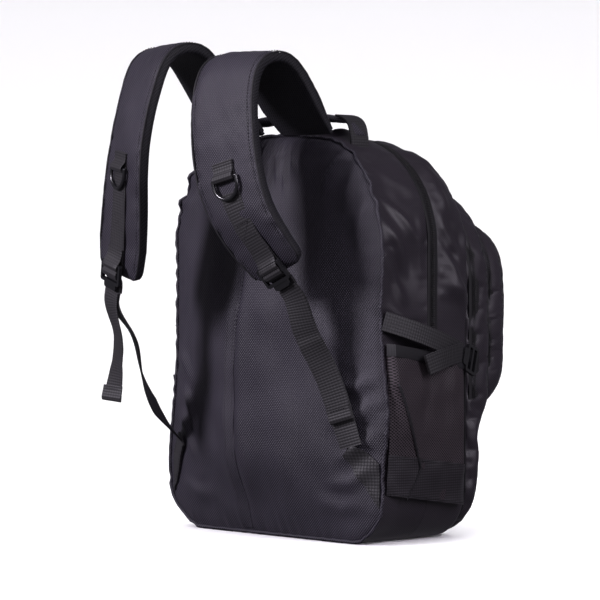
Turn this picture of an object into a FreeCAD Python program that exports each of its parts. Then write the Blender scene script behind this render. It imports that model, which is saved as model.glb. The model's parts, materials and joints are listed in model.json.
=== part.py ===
"""School backpack: a soft two-compartment pack with padded shoulder straps, as separate pieces.

Frame: +Z up, X across the back, +Y from the wearer's back towards the front pockets.
The origin is on the floor, in the middle of the seam plane where the back panel meets the side panels.
The panels, pockets, zips and buckles are features bound to the Sizes sheet. The straps, webbings and the
handle are fabric bands that curve and twist at once, which no feature makes, so a function lofts them.
"""
import FreeCAD, Part
import Sketcher
import math
import os
import re

from FreeCAD import Placement, Rotation, Vector

doc = FreeCAD.newDocument("backpack")
sheet = doc.addObject("Spreadsheet::Sheet", "Sizes")

SIZES = {
    "body_width": 314, "body_height": 408, "main_depth": 128, "zip_plane": 72, "panel_wall": 3,
    "crown_radius": 106, "foot_radius": 48, "front_taper": 5, "front_drop": 18,
    "back_bulge": 36, "back_wall": 12, "back_edge": 6,
    "zip_width": 14, "zip_gap": 1.6, "fold_height": 228, "fold_angle": 27, "soft_gap": 0.3,
    "front_depth": 38, "front_low_depth": 20, "front_width": 292, "front_height": 362, "front_foot": 6,
    "front_radius": 106, "lobe_rounding": 14, "low_rounding": 9,
    "pocket_depth": 42, "pocket_width": 262, "pocket_height": 322, "pocket_foot": 128, "pocket_radius": 58,
    "pocket_foot_radius": 40, "tape_wall": 1.4,
    "mesh_wall": 1.6, "mesh_belly": 15, "mesh_depth": 110, "mesh_foot": 42, "mesh_top": 186,
    "hem_height": 12, "hem_wall": 1, "band_height": 46, "band_wall": 0.8,
    "strap_width": 78, "strap_padding": 12, "strap_end_width": 60, "strap_root": 54,
    "strap_root_wall": 5, "strap_overrun": 15,
    "webbing_width": 25, "webbing_wall": 1.6, "side_webbing_width": 20,
    "lock_wall": 3.6, "lock_bar": 3.4, "lock_slot": 6, "lock_rim": 3, "lock_play": 1.2,
    "lock_rounding": 3, "lock_lip": 6,
    "ring_play": 0.8, "ring_height": 22, "ring_wire": 3.6,
    "slider_length": 11, "slider_wall": 1.6, "slider_play": 0.4, "slider_bridge": 0.8,
    "bail_wire": 2, "bail_rise": 1.8, "bail_post": 1.4, "pull_length": 30, "pull_width": 6, "pull_wall": 1.8,
    "eye_wall": 1, "eye_play": 0.3, "main_slider_height": 262, "lobe_slider_setback": 28,
    "handle_half": 98, "handle_rise": 34, "handle_width": 26, "handle_wall": 7, "handle_setback": 24,
    "handle_axis": 3, "handle_play": 0.9, "handle_root_width": 2.6, "tab_wall": 2.4, "curve_play": 0.5,
}
for row, (alias, value) in enumerate(SIZES.items(), start=1):
    sheet.set(f"A{row}", alias)
    sheet.set(f"B{row}", str(value))
    sheet.setAlias(f"B{row}", alias)
doc.recompute()

SIDES = {"right": 1, "left": -1}
subparts = []


# ---------------------------------------------------------------- helpers

def formula(text):
    """An expression on the sheet, written with the bare names of its cells."""
    def cell(word):
        return f"Sizes.{word[0]}" if word[0] in SIZES else word[0]

    return re.sub(r"[a-z][a-z_]+", cell, str(text))


def bind(thing, **sizes):
    """Tie properties of a document object to formulas. A double underscore stands for a dot."""
    for name, text in sizes.items():
        thing.setExpression(name.replace("__", "."), formula(text))
    return thing


def place(thing, x=0, y=0, z=0):
    return bind(thing, Placement__Base__x=x, Placement__Base__y=y, Placement__Base__z=z)


def node(label, thing):
    """Mark a document object as a piece of the pack, which gets a file of its own."""
    thing.Label = label
    subparts.append(thing)
    return thing


def block(name, x, y, z):
    """A box between pairs of formulas."""
    cell = doc.addObject("Part::Box", name)
    bind(cell, Length=f"({x[1]}) - ({x[0]})", Width=f"({y[1]}) - ({y[0]})", Height=f"({z[1]}) - ({z[0]})")
    return place(cell, x[0], y[0], z[0])


def drum(name, radius, length):
    """A cylinder whose radius and height are formulas."""
    return bind(doc.addObject("Part::Cylinder", name), Radius=radius, Height=length)


def common(name, *things):
    joined = doc.addObject("Part::MultiCommon", name)
    joined.Shapes = list(things)
    return joined


def fuse(name, *things):
    joined = doc.addObject("Part::MultiFuse", name)
    joined.Shapes = list(things)
    return joined


def cut(name, base, tool):
    left = doc.addObject("Part::Cut", name)
    left.Base, left.Tool = base, tool
    return left


def body(name):
    return doc.addObject("PartDesign::Body", name)


def new_sketch(owner, name, role, offset="0"):
    """A sketch on one of its body's origin planes, moved along the plane's normal by a formula."""
    sketch = owner.newObject("Sketcher::SketchObject", name)
    plane = next(axis for axis in owner.Origin.OriginFeatures if axis.Role == role)
    sketch.AttachmentSupport = [(plane, "")]
    sketch.MapMode = "FlatFace"
    return bind(sketch, AttachmentOffset__Base__z=offset)


def dimension(sketch, kind, place_in_sketch, start, text):
    """A named size in a sketch: a starting value, then its formula."""
    index = sketch.addConstraint(Sketcher.Constraint(kind, *place_in_sketch, start))
    sketch.setExpression(f"Constraints[{index}]", formula(text))


def pad(owner, sketch, length, back=False, middle=False):
    feature = owner.newObject("PartDesign::Pad", f"{sketch.Name}_pad")
    feature.Profile = sketch
    feature.Reversed = back
    feature.Midplane = middle
    return bind(feature, Length=length)


def pocket(owner, sketch, length):
    """A cut that runs the same way on both sides of its sketch."""
    feature = owner.newObject("PartDesign::Pocket", f"{sketch.Name}_pocket")
    feature.Profile = sketch
    feature.Midplane = True
    return bind(feature, Length=length)


def fillet(owner, feature, radius, wanted):
    """Round the edges of the last feature that a test picks."""
    doc.recompute()
    names = [f"Edge{i}" for i, edge in enumerate(feature.Shape.Edges, start=1) if wanted(edge)]
    rounding = owner.newObject("PartDesign::Fillet", f"{feature.Name}_fillet")
    rounding.Base = (feature, names)
    return bind(rounding, Radius=radius)


def polygon(sketch, corners):
    """Straight lines through corners that are pairs of formulas."""
    count = len(corners)
    first = sketch.GeometryCount
    turns = [math.radians(360 * i / count + 10) for i in range(count)]
    starts = [Vector(5 * math.cos(turn), 5 * math.sin(turn), 0) for turn in turns]
    for i in range(count):
        sketch.addGeometry(Part.LineSegment(starts[i], starts[(i + 1) % count]), False)
    for i in range(count):
        sketch.addConstraint(Sketcher.Constraint("Coincident", first + i, 2, first + (i + 1) % count, 1))
    for i, (across, up) in enumerate(corners):
        dimension(sketch, "DistanceX", (-1, 1, first + i, 1), starts[i].x, across)
        dimension(sketch, "DistanceY", (-1, 1, first + i, 1), starts[i].y, up)
    return sketch


def rectangle(sketch, left, right, low, high):
    return polygon(sketch, [(left, low), (right, low), (right, high), (left, high)])


def tombstone(owner, name, y, half, low, high, crown, foot):
    """An upright outline at y: straight sides, round crown corners and round foot corners."""
    sketch = new_sketch(owner, name, "XZ_Plane", f"-({y})")
    arcs = {1: (50, 300, 100, 0), 3: (-50, 300, 100, 90), 5: (-100, 50, 50, 180), 7: (100, 50, 50, 270)}
    lines = {0: (150, 50, 150, 300), 2: (50, 400, -50, 400), 4: (-150, 300, -150, 50), 6: (-100, 0, 100, 0)}
    for i in range(8):
        if i in lines:
            x0, z0, x1, z1 = lines[i]
            sketch.addGeometry(Part.LineSegment(Vector(x0, z0, 0), Vector(x1, z1, 0)), False)
            continue
        cx, cz, radius, turn = arcs[i]
        circle = Part.Circle(Vector(cx, cz, 0), Vector(0, 0, 1), radius)
        start = math.radians(turn)
        sketch.addGeometry(Part.ArcOfCircle(circle, start, start + math.pi / 2), False)
    for i in range(8):
        sketch.addConstraint(Sketcher.Constraint("Tangent", i, 2, (i + 1) % 8, 1))
    for i, kind in ((0, "Vertical"), (4, "Vertical"), (2, "Horizontal"), (6, "Horizontal")):
        sketch.addConstraint(Sketcher.Constraint(kind, i))
    sketch.addConstraint(Sketcher.Constraint("Equal", 1, 3))
    sketch.addConstraint(Sketcher.Constraint("Equal", 5, 7))
    dimension(sketch, "Radius", (1,), 100, crown)
    dimension(sketch, "Radius", (5,), 50, foot)
    dimension(sketch, "DistanceX", (-1, 1, 0, 1), 150, half)
    dimension(sketch, "DistanceX", (4, 1, -1, 1), 150, half)
    dimension(sketch, "DistanceY", (-1, 1, 2, 1), 400, high)
    dimension(sketch, "DistanceY", (-1, 1, 6, 1), 0, low)
    return sketch


# ---------------------------------------------------------------- main compartment

HALF = "body_width / 2"
WIDE = "body_width"
ZIP_REAR = "zip_plane - zip_width / 2"
ZIP_FRONT = "zip_plane + zip_width / 2"
HINGE = "zip_plane + zip_gap / 2"
CROWN = "body_height - crown_radius"
ACROSS = (f"-({WIDE})", WIDE)
SIDE_RANGE = {"right": ("0", WIDE), "left": (f"-({WIDE})", "0")}


def compartment_block(name, inset):
    """The main compartment as a solid: one outline as far as the zip, then narrowing to the front seam."""
    owner = body(name)
    stations = [("rear", "0", "0", "0"), ("zip", ZIP_FRONT, "0", "0"),
                ("front", "main_depth", "front_taper", "front_drop")]
    sketches = [
        tombstone(owner, f"{name}_{tag}", y, f"{HALF} - {taper} - ({inset})", inset,
                  f"body_height - {drop} - ({inset})", f"crown_radius - ({inset})", f"foot_radius - ({inset})")
        for tag, y, taper, drop in stations
    ]
    kind = "PartDesign::AdditiveLoft"
    loft = owner.newObject(kind, f"{name}_loft")
    loft.Profile = sketches[0]
    loft.Sections = sketches[1:]
    loft.Ruled = True
    return owner


def side_prism(name, corners):
    """A polygon of (y, z) formulas, as deep as the pack is wide and more."""
    owner = body(name)
    pad(owner, polygon(new_sketch(owner, f"{name}_outline", "YZ_Plane"), corners), f"2 * {WIDE}", middle=True)
    return owner


REACH = "2 * body_height"
FOLD_DROP = f"({REACH} - ({HINGE})) * tan(fold_angle)"
above_fold = block("above_fold", ACROSS, (f"-({REACH})", REACH), ("fold_height", REACH))
below_fold = side_prism("below_fold", [
    (f"-({REACH})", f"-({REACH})"), (REACH, f"-({REACH})"), (REACH, f"fold_height - soft_gap - {FOLD_DROP}"),
    (HINGE, "fold_height - soft_gap"), (f"-({REACH})", "fold_height - soft_gap")])
fold_wedge = side_prism("fold_wedge", [
    (HINGE, "fold_height - soft_gap"), (REACH, f"fold_height - soft_gap - {FOLD_DROP}"),
    (REACH, "fold_height - soft_gap")])

outer = compartment_block("compartment_outer", "0")
inner = compartment_block("compartment_inner", "panel_wall")
hollow = block("compartment_span", ACROSS, ("-panel_wall", "main_depth - panel_wall"), (f"-({REACH})", REACH))
shell = cut("compartment_shell", outer, common("compartment_hollow", inner, hollow))


def panel(label, x, y, z, *more):
    """One panel: the part of the compartment's shell inside a box, and inside anything more."""
    return node(label, common(f"{label}_cut", shell, block(f"{label}_room", x, y, z), *more))


def main_panels():
    ring = ("0", ZIP_REAR)
    panel("top_panel", ACROSS, ring, (CROWN, REACH))
    panel("base_panel", ACROSS, ("0", "main_depth - panel_wall"), ("-1", "foot_radius"))
    for side, across in SIDE_RANGE.items():
        panel(f"{side}_side_panel", across, ring, ("foot_radius", CROWN))
        low = (ZIP_REAR, "main_depth - panel_wall")
        panel(f"{side}_lower_gusset", across, low, ("foot_radius", REACH), below_fold)
    panel("front_gusset", ACROSS, (ZIP_FRONT, "main_depth - panel_wall"), ("fold_height", REACH))
    wall = ("main_depth - panel_wall", "main_depth")
    panel("upper_divider", ACROSS, wall, ("fold_height", REACH))
    panel("lower_divider", ACROSS, wall, ("-1", REACH), below_fold)
    panel("main_zip_rear_half", ACROSS, (ZIP_REAR, "zip_plane - zip_gap / 2"), ("fold_height", REACH))
    panel("main_zip_front_half", ACROSS, (HINGE, ZIP_FRONT), ("fold_height", REACH))


def back_panel():
    """A padded panel that bulges towards the wearer: a barrel and a lying roller in common, less its inside."""
    rise = "(back_bulge - back_edge)"

    def pillow(name, inset):
        owner = body(f"{name}_blank")
        outline = (HALF, "0", "body_height", "crown_radius", "foot_radius")
        pad(owner, tombstone(owner, f"{name}_outline", "0", *outline), "2 * back_bulge")
        barrel_radius = f"(({HALF}) ^ 2 + {rise} ^ 2) / (2 * {rise})"
        roller_radius = f"((body_height / 2) ^ 2 + {rise} ^ 2) / (2 * {rise})"
        barrel = drum(f"{name}_barrel", f"{barrel_radius} - ({inset})", REACH)
        place(barrel, 0, f"{barrel_radius} - back_bulge", "-body_height / 2")
        roller = drum(f"{name}_roller", f"{roller_radius} - ({inset})", f"2 * {WIDE}")
        roller.Placement.Rotation = Rotation(Vector(0, 1, 0), 90)
        place(roller, f"-({WIDE})", f"{roller_radius} - back_bulge", "body_height / 2")
        return common(name, owner, barrel, roller)

    skin = cut("back_panel_cut", pillow("back_outside", "0"), pillow("back_inside", "back_wall"))
    node("back_panel", skin)


# ---------------------------------------------------------------- front compartment and front pocket

def lobe(name, steps):
    """A stuffed pocket: upright outlines, each padded forward from the same seam, with round front edges."""
    owner = body(name)
    for i, (start, depth, half, low, high, crown, foot, rounding) in enumerate(steps):
        sketch = tombstone(owner, f"{name}_outline{i}", start, half, low, high, crown, foot)
        feature = pad(owner, sketch, depth, back=True)
        doc.recompute()
        front = feature.Shape.BoundBox.YMax
        fillet(owner, feature, rounding, lambda edge: all(abs(v.Y - front) < 0.01 for v in edge.Vertexes))
    return owner


def lobe_band(label, half, high, crown, y0, y1):
    """Half of a zip round a lobe's crown: it lies on the lobe and ends at the fold."""
    def outline(name, out):
        owner = body(name)
        sketch = tombstone(owner, f"{name}_outline", y0, f"{half} + {out}", "fold_height / 2", f"{high} + {out}",
                           f"{crown} + {out}", "foot_radius")
        pad(owner, sketch, f"({y1}) - ({y0})", back=True)
        return owner
    band = cut(f"{label}_band", outline(f"{label}_outside", "tape_wall"), outline(f"{label}_inside", "0"))
    node(label, common(f"{label}_cut", band, above_fold))


LOBE_FRONT = "main_depth + front_depth"
FRONT_ZIP = "main_depth + zip_width / 2 + panel_wall"
POCKET_ZIP = "main_depth + front_depth + zip_width / 2 + panel_wall"
LOBE_HALF = {"front": "front_width / 2", "pocket": "pocket_width / 2"}
LOBE_ZIPS = {"front": FRONT_ZIP, "pocket": POCKET_ZIP}


def front_lobes():
    front = lobe("front_compartment", [
        ("main_depth", "front_low_depth", LOBE_HALF["front"], "front_foot", "front_height", "front_radius",
         "foot_radius - front_foot", "low_rounding"),
        ("main_depth", "front_depth", LOBE_HALF["front"], "pocket_foot", "front_height", "front_radius",
         "pocket_foot_radius", "lobe_rounding")])
    front_pocket = lobe("front_pocket", [
        (LOBE_FRONT, "pocket_depth", LOBE_HALF["pocket"], "pocket_foot", "pocket_height", "pocket_radius",
         "pocket_foot_radius", "lobe_rounding")])
    for name, whole in (("front_compartment", front), ("front_pocket", front_pocket)):
        node(f"{name}_upper", common(f"{name}_upper_cut", whole, above_fold))
        node(f"{name}_lower", common(f"{name}_lower_cut", whole, below_fold))
    node("front_fold", common("front_fold_cut", fuse("front_cloth", shell, front, front_pocket), fold_wedge))
    for name in LOBE_ZIPS:
        middle, half = LOBE_ZIPS[name], LOBE_HALF[name]
        sizes = (half, f"{name}_height", f"{name}_radius")
        lobe_band(f"{name}_zip_rear_half", *sizes, f"{middle} - zip_width / 2", f"{middle} - zip_gap / 2")
        lobe_band(f"{name}_zip_front_half", *sizes, f"{middle} + zip_gap / 2", f"{middle} + zip_width / 2")


# ---------------------------------------------------------------- side pockets

def side_pockets():
    """A mesh pocket on each side, open at its top: an upright arc that bellies out from the side panel."""
    radius = "((mesh_depth / 2) ^ 2 / (2 * mesh_belly) + mesh_belly / 2)"
    middle = "mesh_depth / 2 + panel_wall"
    for side, sign in SIDES.items():
        def arc(name, grow, low, high):
            curve = drum(name, f"{radius} + ({grow})", f"({high}) - ({low})")
            return place(curve, f"{sign} * ({HALF} + mesh_belly - {radius})", middle, low)

        across = (HALF, f"{HALF} + 2 * mesh_belly")
        if side == "left":
            across = (f"-({across[1]})", f"-({across[0]})")
        along = ("panel_wall", "mesh_depth + panel_wall")
        room = block(f"{side}_pocket_room", across, along, ("mesh_foot", REACH))
        pieces = {
            "pocket_mesh": ("0", "-mesh_wall", "mesh_foot", "mesh_top"),
            "pocket_hem": ("hem_wall", "0", "mesh_top - hem_height", "mesh_top"),
            "pocket_band": ("band_wall", "0", "mesh_foot", "mesh_foot + band_height"),
        }
        for tag, (grow, shrink, low, high) in pieces.items():
            label = f"{side}_{tag}"
            outside = arc(f"{label}_outside", grow, low, high)
            skin = cut(f"{label}_skin", outside, arc(f"{label}_inside", shrink, low, high))
            if tag == "pocket_mesh":
                skin = fuse(f"{label}_closed", skin, arc(f"{label}_floor", "0", low, f"{low} + mesh_wall"))
            node(label, common(f"{label}_cut", skin, room))


# ---------------------------------------------------------------- zip sliders and pulls

BAIL = "(slider_play + slider_wall + bail_rise + bail_wire / 2)"
POST = "(pull_width / 2 + eye_play)"


def slider(label, wall, straddles):
    """Travel along +Z, outwards along +X from the tape's face, across the zip along Y.

    A slider that straddles its zip has a plate on both faces. One on a backed zip has a foot in the gap.
    """
    width = f"({POST} + bail_post)"
    across = (f"-{width}", width)
    outer_face = ("slider_play", "slider_play + slider_wall")
    ends = ("-slider_length / 2", "slider_length / 2")
    depth = f"({wall} + slider_play + slider_wall)" if straddles else f"({wall} - slider_play)"
    pieces = [
        block(f"{label}_plate", outer_face, across, ends),
        block(f"{label}_bridge", (f"-{depth}", "slider_play + slider_wall"),
              ("-slider_bridge / 2", "slider_bridge / 2"), ("slider_length / 4", "slider_length / 2")),
    ]
    if straddles:
        pieces.append(block(f"{label}_back", (f"-{depth}", f"slider_wall - {depth}"), across, ends))
    post_up = ("slider_play + slider_wall", f"{BAIL} + bail_wire / 2")
    post_wide = ("-bail_wire / 2", "bail_wire / 2")
    pieces.append(block(f"{label}_post_a", post_up, (POST, width), post_wide))
    pieces.append(block(f"{label}_post_b", post_up, (f"-{width}", f"-{POST}"), post_wide))
    bar = drum(f"{label}_bar", "bail_wire / 2", f"2 * {width}")
    bar.Placement.Rotation = Rotation(Vector(1, 0, 0), -90)
    pieces.append(place(bar, BAIL, f"-{width}", 0))
    return fuse(f"{label}_whole", *pieces)


def pull(label):
    """A flat tag that hangs along -Z from an eye round the bail's bar."""
    radius = "(bail_wire / 2 + eye_play)"

    def turned(name, size, length, start):
        round_piece = drum(name, size, length)
        round_piece.Placement.Rotation = Rotation(Vector(1, 0, 0), -90)
        return place(round_piece, BAIL, start, 0)

    eye = turned(f"{label}_eye", f"{radius} + eye_wall", "pull_width", "-pull_width / 2")
    hole = turned(f"{label}_hole", radius, "2 * pull_width", "-pull_width")
    tag = block(f"{label}_tag", (f"{BAIL} - pull_wall / 2", f"{BAIL} + pull_wall / 2"),
                ("-pull_width / 2", "pull_width / 2"), ("-pull_length", f"-{radius}"))
    return cut(f"{label}_whole", fuse(f"{label}_blank", eye, tag), hole)


ON_LEFT_SIDE = Rotation(Vector(0, 0, 1), 180)
ON_TOP = Rotation(Vector(0, 1, 0), -90)
ZIPS = {  # tape, straddles, then the place of the tape's face, and the turn
    "main": ("panel_wall", True, f"-({HALF})", "zip_plane", "main_slider_height", ON_LEFT_SIDE),
    "front": ("tape_wall", False, "-lobe_slider_setback", FRONT_ZIP, "front_height + tape_wall", ON_TOP),
    "pocket": ("tape_wall", False, "-lobe_slider_setback", POCKET_ZIP, "pocket_height + tape_wall", ON_TOP),
}


def zip_hardware():
    for name, (wall, straddles, x, y, z, turn) in ZIPS.items():
        for label, whole in ((f"{name}_slider", slider(f"{name}_slider", wall, straddles)),
                             (f"{name}_pull", pull(f"{name}_pull"))):
            whole.Placement.Rotation = turn
            node(label, place(whole, x, y, z))


# ---------------------------------------------------------------- buckles and rings

LOCK_RUN = "(3 * lock_bar + 2 * lock_slot)"


def ladder_lock(label, webbing):
    """Three bars and two slots. Webbing runs along +X, across is Y, and +Z faces outwards."""
    owner = body(f"{label}_body")
    half = f"({webbing} / 2 + lock_play + lock_rim)"
    slot = f"({webbing} / 2 + lock_play)"
    frame = rectangle(new_sketch(owner, f"{label}_frame", "XY_Plane"), "0", LOCK_RUN, f"-{half}", half)
    solid = pad(owner, frame, "lock_wall", middle=True)
    lip = rectangle(new_sketch(owner, f"{label}_lip", "XY_Plane"), LOCK_RUN + " - lock_bar / 2",
                    f"{LOCK_RUN} + lock_lip", f"-{half} * 0.62", f"{half} * 0.62")
    solid = pad(owner, lip, "lock_wall * 0.7", middle=True)
    slots = new_sketch(owner, f"{label}_slots", "XY_Plane")
    for i in (1, 2):
        start = f"({i} * lock_bar + {i - 1} * lock_slot)"
        rectangle(slots, start, f"{start} + lock_slot", f"-{slot}", slot)
    solid = pocket(owner, slots, "2 * lock_wall")
    doc.recompute()
    corner = max(v.Y for v in solid.Shape.Vertexes)
    lip_end = max(v.X for v in solid.Shape.Vertexes)

    def outer_upright(edge):
        start, end = (v.Point for v in edge.Vertexes) if len(edge.Vertexes) == 2 else (Vector(), Vector())
        upright = abs(start.z - end.z) > 1 and (start - end).Length < abs(start.z - end.z) + 0.01
        return upright and (abs(abs(start.y) - corner) < 0.01 or abs(start.x - lip_end) < 0.01)

    fillet(owner, solid, "lock_rounding", outer_upright)
    return owner


def d_ring(label):
    """A bent wire: its straight bar along Y at the origin, its bow towards +X."""
    spread = "(webbing_width / 2 + ring_play + ring_wire / 2)"
    drop = "(ring_height - webbing_width / 2 - ring_play - ring_wire)"
    wire = "ring_wire / 2"
    bow = doc.addObject("Part::Torus", f"{label}_bow")
    bind(bow, Radius1=spread, Radius2=wire)
    bow.Angle3 = 180
    bow.Placement.Rotation = Rotation(Vector(0, 0, 1), -90)
    pieces = [place(bow, drop)]
    bar = drum(f"{label}_bar", wire, f"2 * {spread}")
    bar.Placement.Rotation = Rotation(Vector(1, 0, 0), -90)
    pieces.append(place(bar, 0, f"-{spread}"))
    for i, sign in enumerate((1, -1)):
        arm = drum(f"{label}_arm{i}", wire, drop)
        arm.Placement.Rotation = Rotation(Vector(0, 1, 0), 90)
        pieces.append(place(arm, 0, f"{sign} * {spread}"))
        elbow = bind(doc.addObject("Part::Sphere", f"{label}_elbow{i}"), Radius=wire)
        pieces.append(place(elbow, 0, f"{sign} * {spread}"))
    return fuse(f"{label}_whole", *pieces)


def webbing_loop(label, hole, webbing, tail):
    """Webbing folded round a bar at the origin, with its sewn tail towards -X on the inner side."""
    around = f"({hole} + webbing_wall)"

    def roll(name, radius, length):
        piece = drum(name, radius, length)
        piece.Placement.Rotation = Rotation(Vector(1, 0, 0), -90)
        return place(piece, 0, f"-({length}) / 2")

    wide = (f"-{webbing} / 2", f"{webbing} / 2")
    flat = block(f"{label}_flat", (f"-({tail})", "0"), wide, (f"-{around}", f"-{hole}"))
    blank = fuse(f"{label}_blank", roll(f"{label}_fold", around, webbing), flat)
    return cut(f"{label}_whole", blank, roll(f"{label}_hole", hole, f"2 * {webbing}"))


RING_HOLE = "(ring_wire / 2 + soft_gap)"
LOCK_HOLE = "(sqrt((lock_bar / 2) ^ 2 + (lock_wall / 2) ^ 2) + soft_gap)"


def seat(thing, origin, along, out):
    """Lay a piece made at the origin so that its +X runs along and its +Z faces out."""
    x = Vector(*along).normalize()
    z = Vector(*out)
    z = (z - x * z.dot(x)).normalize()
    thing.Placement = Placement(Vector(*origin), Rotation(x, z.cross(x), z, "XZY"))
    return thing


# ---------------------------------------------------------------- fabric bands

S = {alias: float(sheet.get(alias)) for alias in SIZES}
SPANS = 4  # stations from one point of a path to the next


def mix(values, share):
    """The value at a share of the way along a list."""
    at = share * (len(values) - 1)
    i = min(int(at), len(values) - 2)
    return values[i] + (values[i + 1] - values[i]) * (at - i)


def stations(points, across):
    """Centre, direction, across and outward normal at even steps along a smooth path through the points."""
    path = Part.BSplineCurve()
    path.interpolate([Vector(*point) for point in points])
    sideways = [Vector(*vector) for vector in across]
    count = SPANS * (len(points) - 1)
    found = []
    for i in range(count + 1):
        u = path.FirstParameter + (path.LastParameter - path.FirstParameter) * i / count
        along = path.tangent(u)[0]
        wide = mix(sideways, i / count)
        wide = (wide - along * wide.dot(along)).normalize()
        found.append((path.value(u), along, wide, along.cross(wide)))
    return found


def ribbon(found, widths, walls, lift=0.0):
    """A band through stations, lifted along its outward normal."""
    wires = []
    for i, (centre, _, wide, out) in enumerate(found):
        share = i / (len(found) - 1)
        a, n = wide * (mix(widths, share) / 2), out * (mix(walls, share) / 2)
        middle = centre + out * lift
        corners = [middle - a - n, middle + a - n, middle + a + n, middle - a + n]
        wires.append(Part.makePolygon(corners + corners[:1]))
    return Part.makeLoft(wires, True, True)


def fabric(label, shape):
    """A sewn band, whose shape is worked out here from the sheet's values."""
    piece = doc.addObject("Part::Feature", label)
    piece.Shape = shape
    return node(label, piece)


def back_y(x, z):
    """How far back the padded panel's outer face stands at a point."""
    rise = S["back_bulge"] - S["back_edge"]
    faces = []
    for offset, reach in ((x, S["body_width"] / 2), (z - S["body_height"] / 2, S["body_height"] / 2)):
        radius = (reach ** 2 + rise ** 2) / (2 * rise)
        faces.append(radius - S["back_bulge"] - math.sqrt(radius ** 2 - offset ** 2))
    return max(faces)


HIGH = S["body_height"]
ROOT = S["strap_root"]
ROOT_Y = -S["back_edge"]
STRAP_PATH = {
    "right": [(ROOT, ROOT_Y, HIGH + 2), (ROOT - 1, -26, HIGH + 28), (ROOT - 3, -45, HIGH + 55),
              (ROOT - 4, -70, HIGH + 73), (ROOT - 4, -97, HIGH + 67), (ROOT - 1, -113, HIGH + 36),
              (ROOT + 8, -121, HIGH - 9), (ROOT + 18, -119, HIGH - 57), (ROOT + 31, -103, HIGH - 101),
              (ROOT + 40, -87, HIGH - 125)],
    "left": [(-ROOT, ROOT_Y, HIGH + 2), (-ROOT, -30, HIGH + 35), (1 - ROOT, -55, HIGH + 64),
             (1 - ROOT, -84, HIGH + 86), (-ROOT - 1, -112, HIGH + 80), (-ROOT - 3, -129, HIGH + 50),
             (-ROOT - 7, -138, HIGH + 10), (-ROOT - 14, -140, HIGH - 35), (-ROOT - 21, -137, HIGH - 72),
             (-ROOT - 29, -133, HIGH - 105), (-ROOT - 35, -130, HIGH - 126)],
}
ROOT_SLOPE = 0.1
STRAP_TURN = {  # how far each strap's face is turned about the vertical, in degrees, at each point of its path
    "right": [0, 2, 4, 5, 5, 6, 8, 9, 10, 10, 10],
    "left": [0, -4, -8, -11, -13, -14, -15, -15, -13, -9, -5, -5],
}
RING_SHARE = {"right": 0.77, "left": 0.75}


def strap_stations(side, sign):
    """Stations down to the ladder lock's seat, then the rest, down to the pad's end below the lock."""
    points = [Vector(*point) for point in STRAP_PATH[side]]
    last = points[-1] + (points[-1] - points[-2]).normalize() * S["strap_overrun"]
    turns = [math.radians(turn) for turn in STRAP_TURN[side]]
    across = [(math.cos(turn), math.sin(turn), 0) for turn in turns]
    across[0] = (1, 0, -sign * ROOT_SLOPE)
    across[-2:] = [(x, y, 0.12 * sign) for x, y, _ in across[-2:]]
    found = stations(points + [last], across)
    lock_at = min(range(len(found)), key=lambda i: (found[i][0] - points[-1]).Length)
    return found[:lock_at + 1], found


def straps():
    """A padded strap on each side: its root is sewn flat, it arches over the shoulder and tapers at its end."""
    pad_wall = S["strap_padding"]
    for side, sign in SIDES.items():
        to_lock, whole = strap_stations(side, sign)
        plain = len(STRAP_PATH[side]) - 2
        widths = [S["strap_width"]] * plain + [S["strap_width"] - 5, S["strap_end_width"] + 8, S["strap_end_width"]]
        walls = [S["strap_root_wall"]] + [pad_wall] * plain + [pad_wall - 1, pad_wall - 2]
        fabric(f"{side}_strap_pad", ribbon(whole, widths, walls))
        lift = pad_wall / 2 + S["webbing_wall"] / 2 + S["soft_gap"]
        ring_at = round(RING_SHARE[side] * (len(to_lock) - 1))
        sewn = to_lock[ring_at:]
        fabric(f"{side}_strap_webbing", ribbon(sewn, [S["webbing_width"]] * 2, [S["webbing_wall"]] * 2, lift))
        hang_hardware(side, to_lock[ring_at - 1], to_lock[-1], lift + S["webbing_wall"] / 2)


def hang_hardware(side, ring_station, end_station, lift):
    """The ring above the sewn webbing, and the ladder lock at the strap's end."""
    clear = S["webbing_wall"] + 2 * S["soft_gap"]
    centre, along, _, out = ring_station
    origin = centre + out * (S["strap_padding"] / 2 + S["ring_wire"] / 2 + clear + S["curve_play"])
    node(f"{side}_ring", seat(d_ring(f"{side}_ring"), origin, along, out))
    loop = webbing_loop(f"{side}_ring_loop", RING_HOLE, "webbing_width", "webbing_width * 0.7")
    node(f"{side}_ring_loop", seat(loop, origin, along, out))

    centre, along, _, out = end_station
    lock_out = math.hypot(S["lock_bar"], S["lock_wall"]) / 2 + clear
    origin = centre + out * (lift + lock_out) + along * 4
    lock = seat(ladder_lock(f"{side}_lock", "webbing_width"), origin - along * (S["lock_bar"] / 2), along, out)
    node(f"{side}_lock", lock)
    loop = webbing_loop(f"{side}_lock_loop", LOCK_HOLE, "webbing_width", "webbing_width * 0.6")
    node(f"{side}_lock_loop", seat(loop, origin, along, out))


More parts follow.
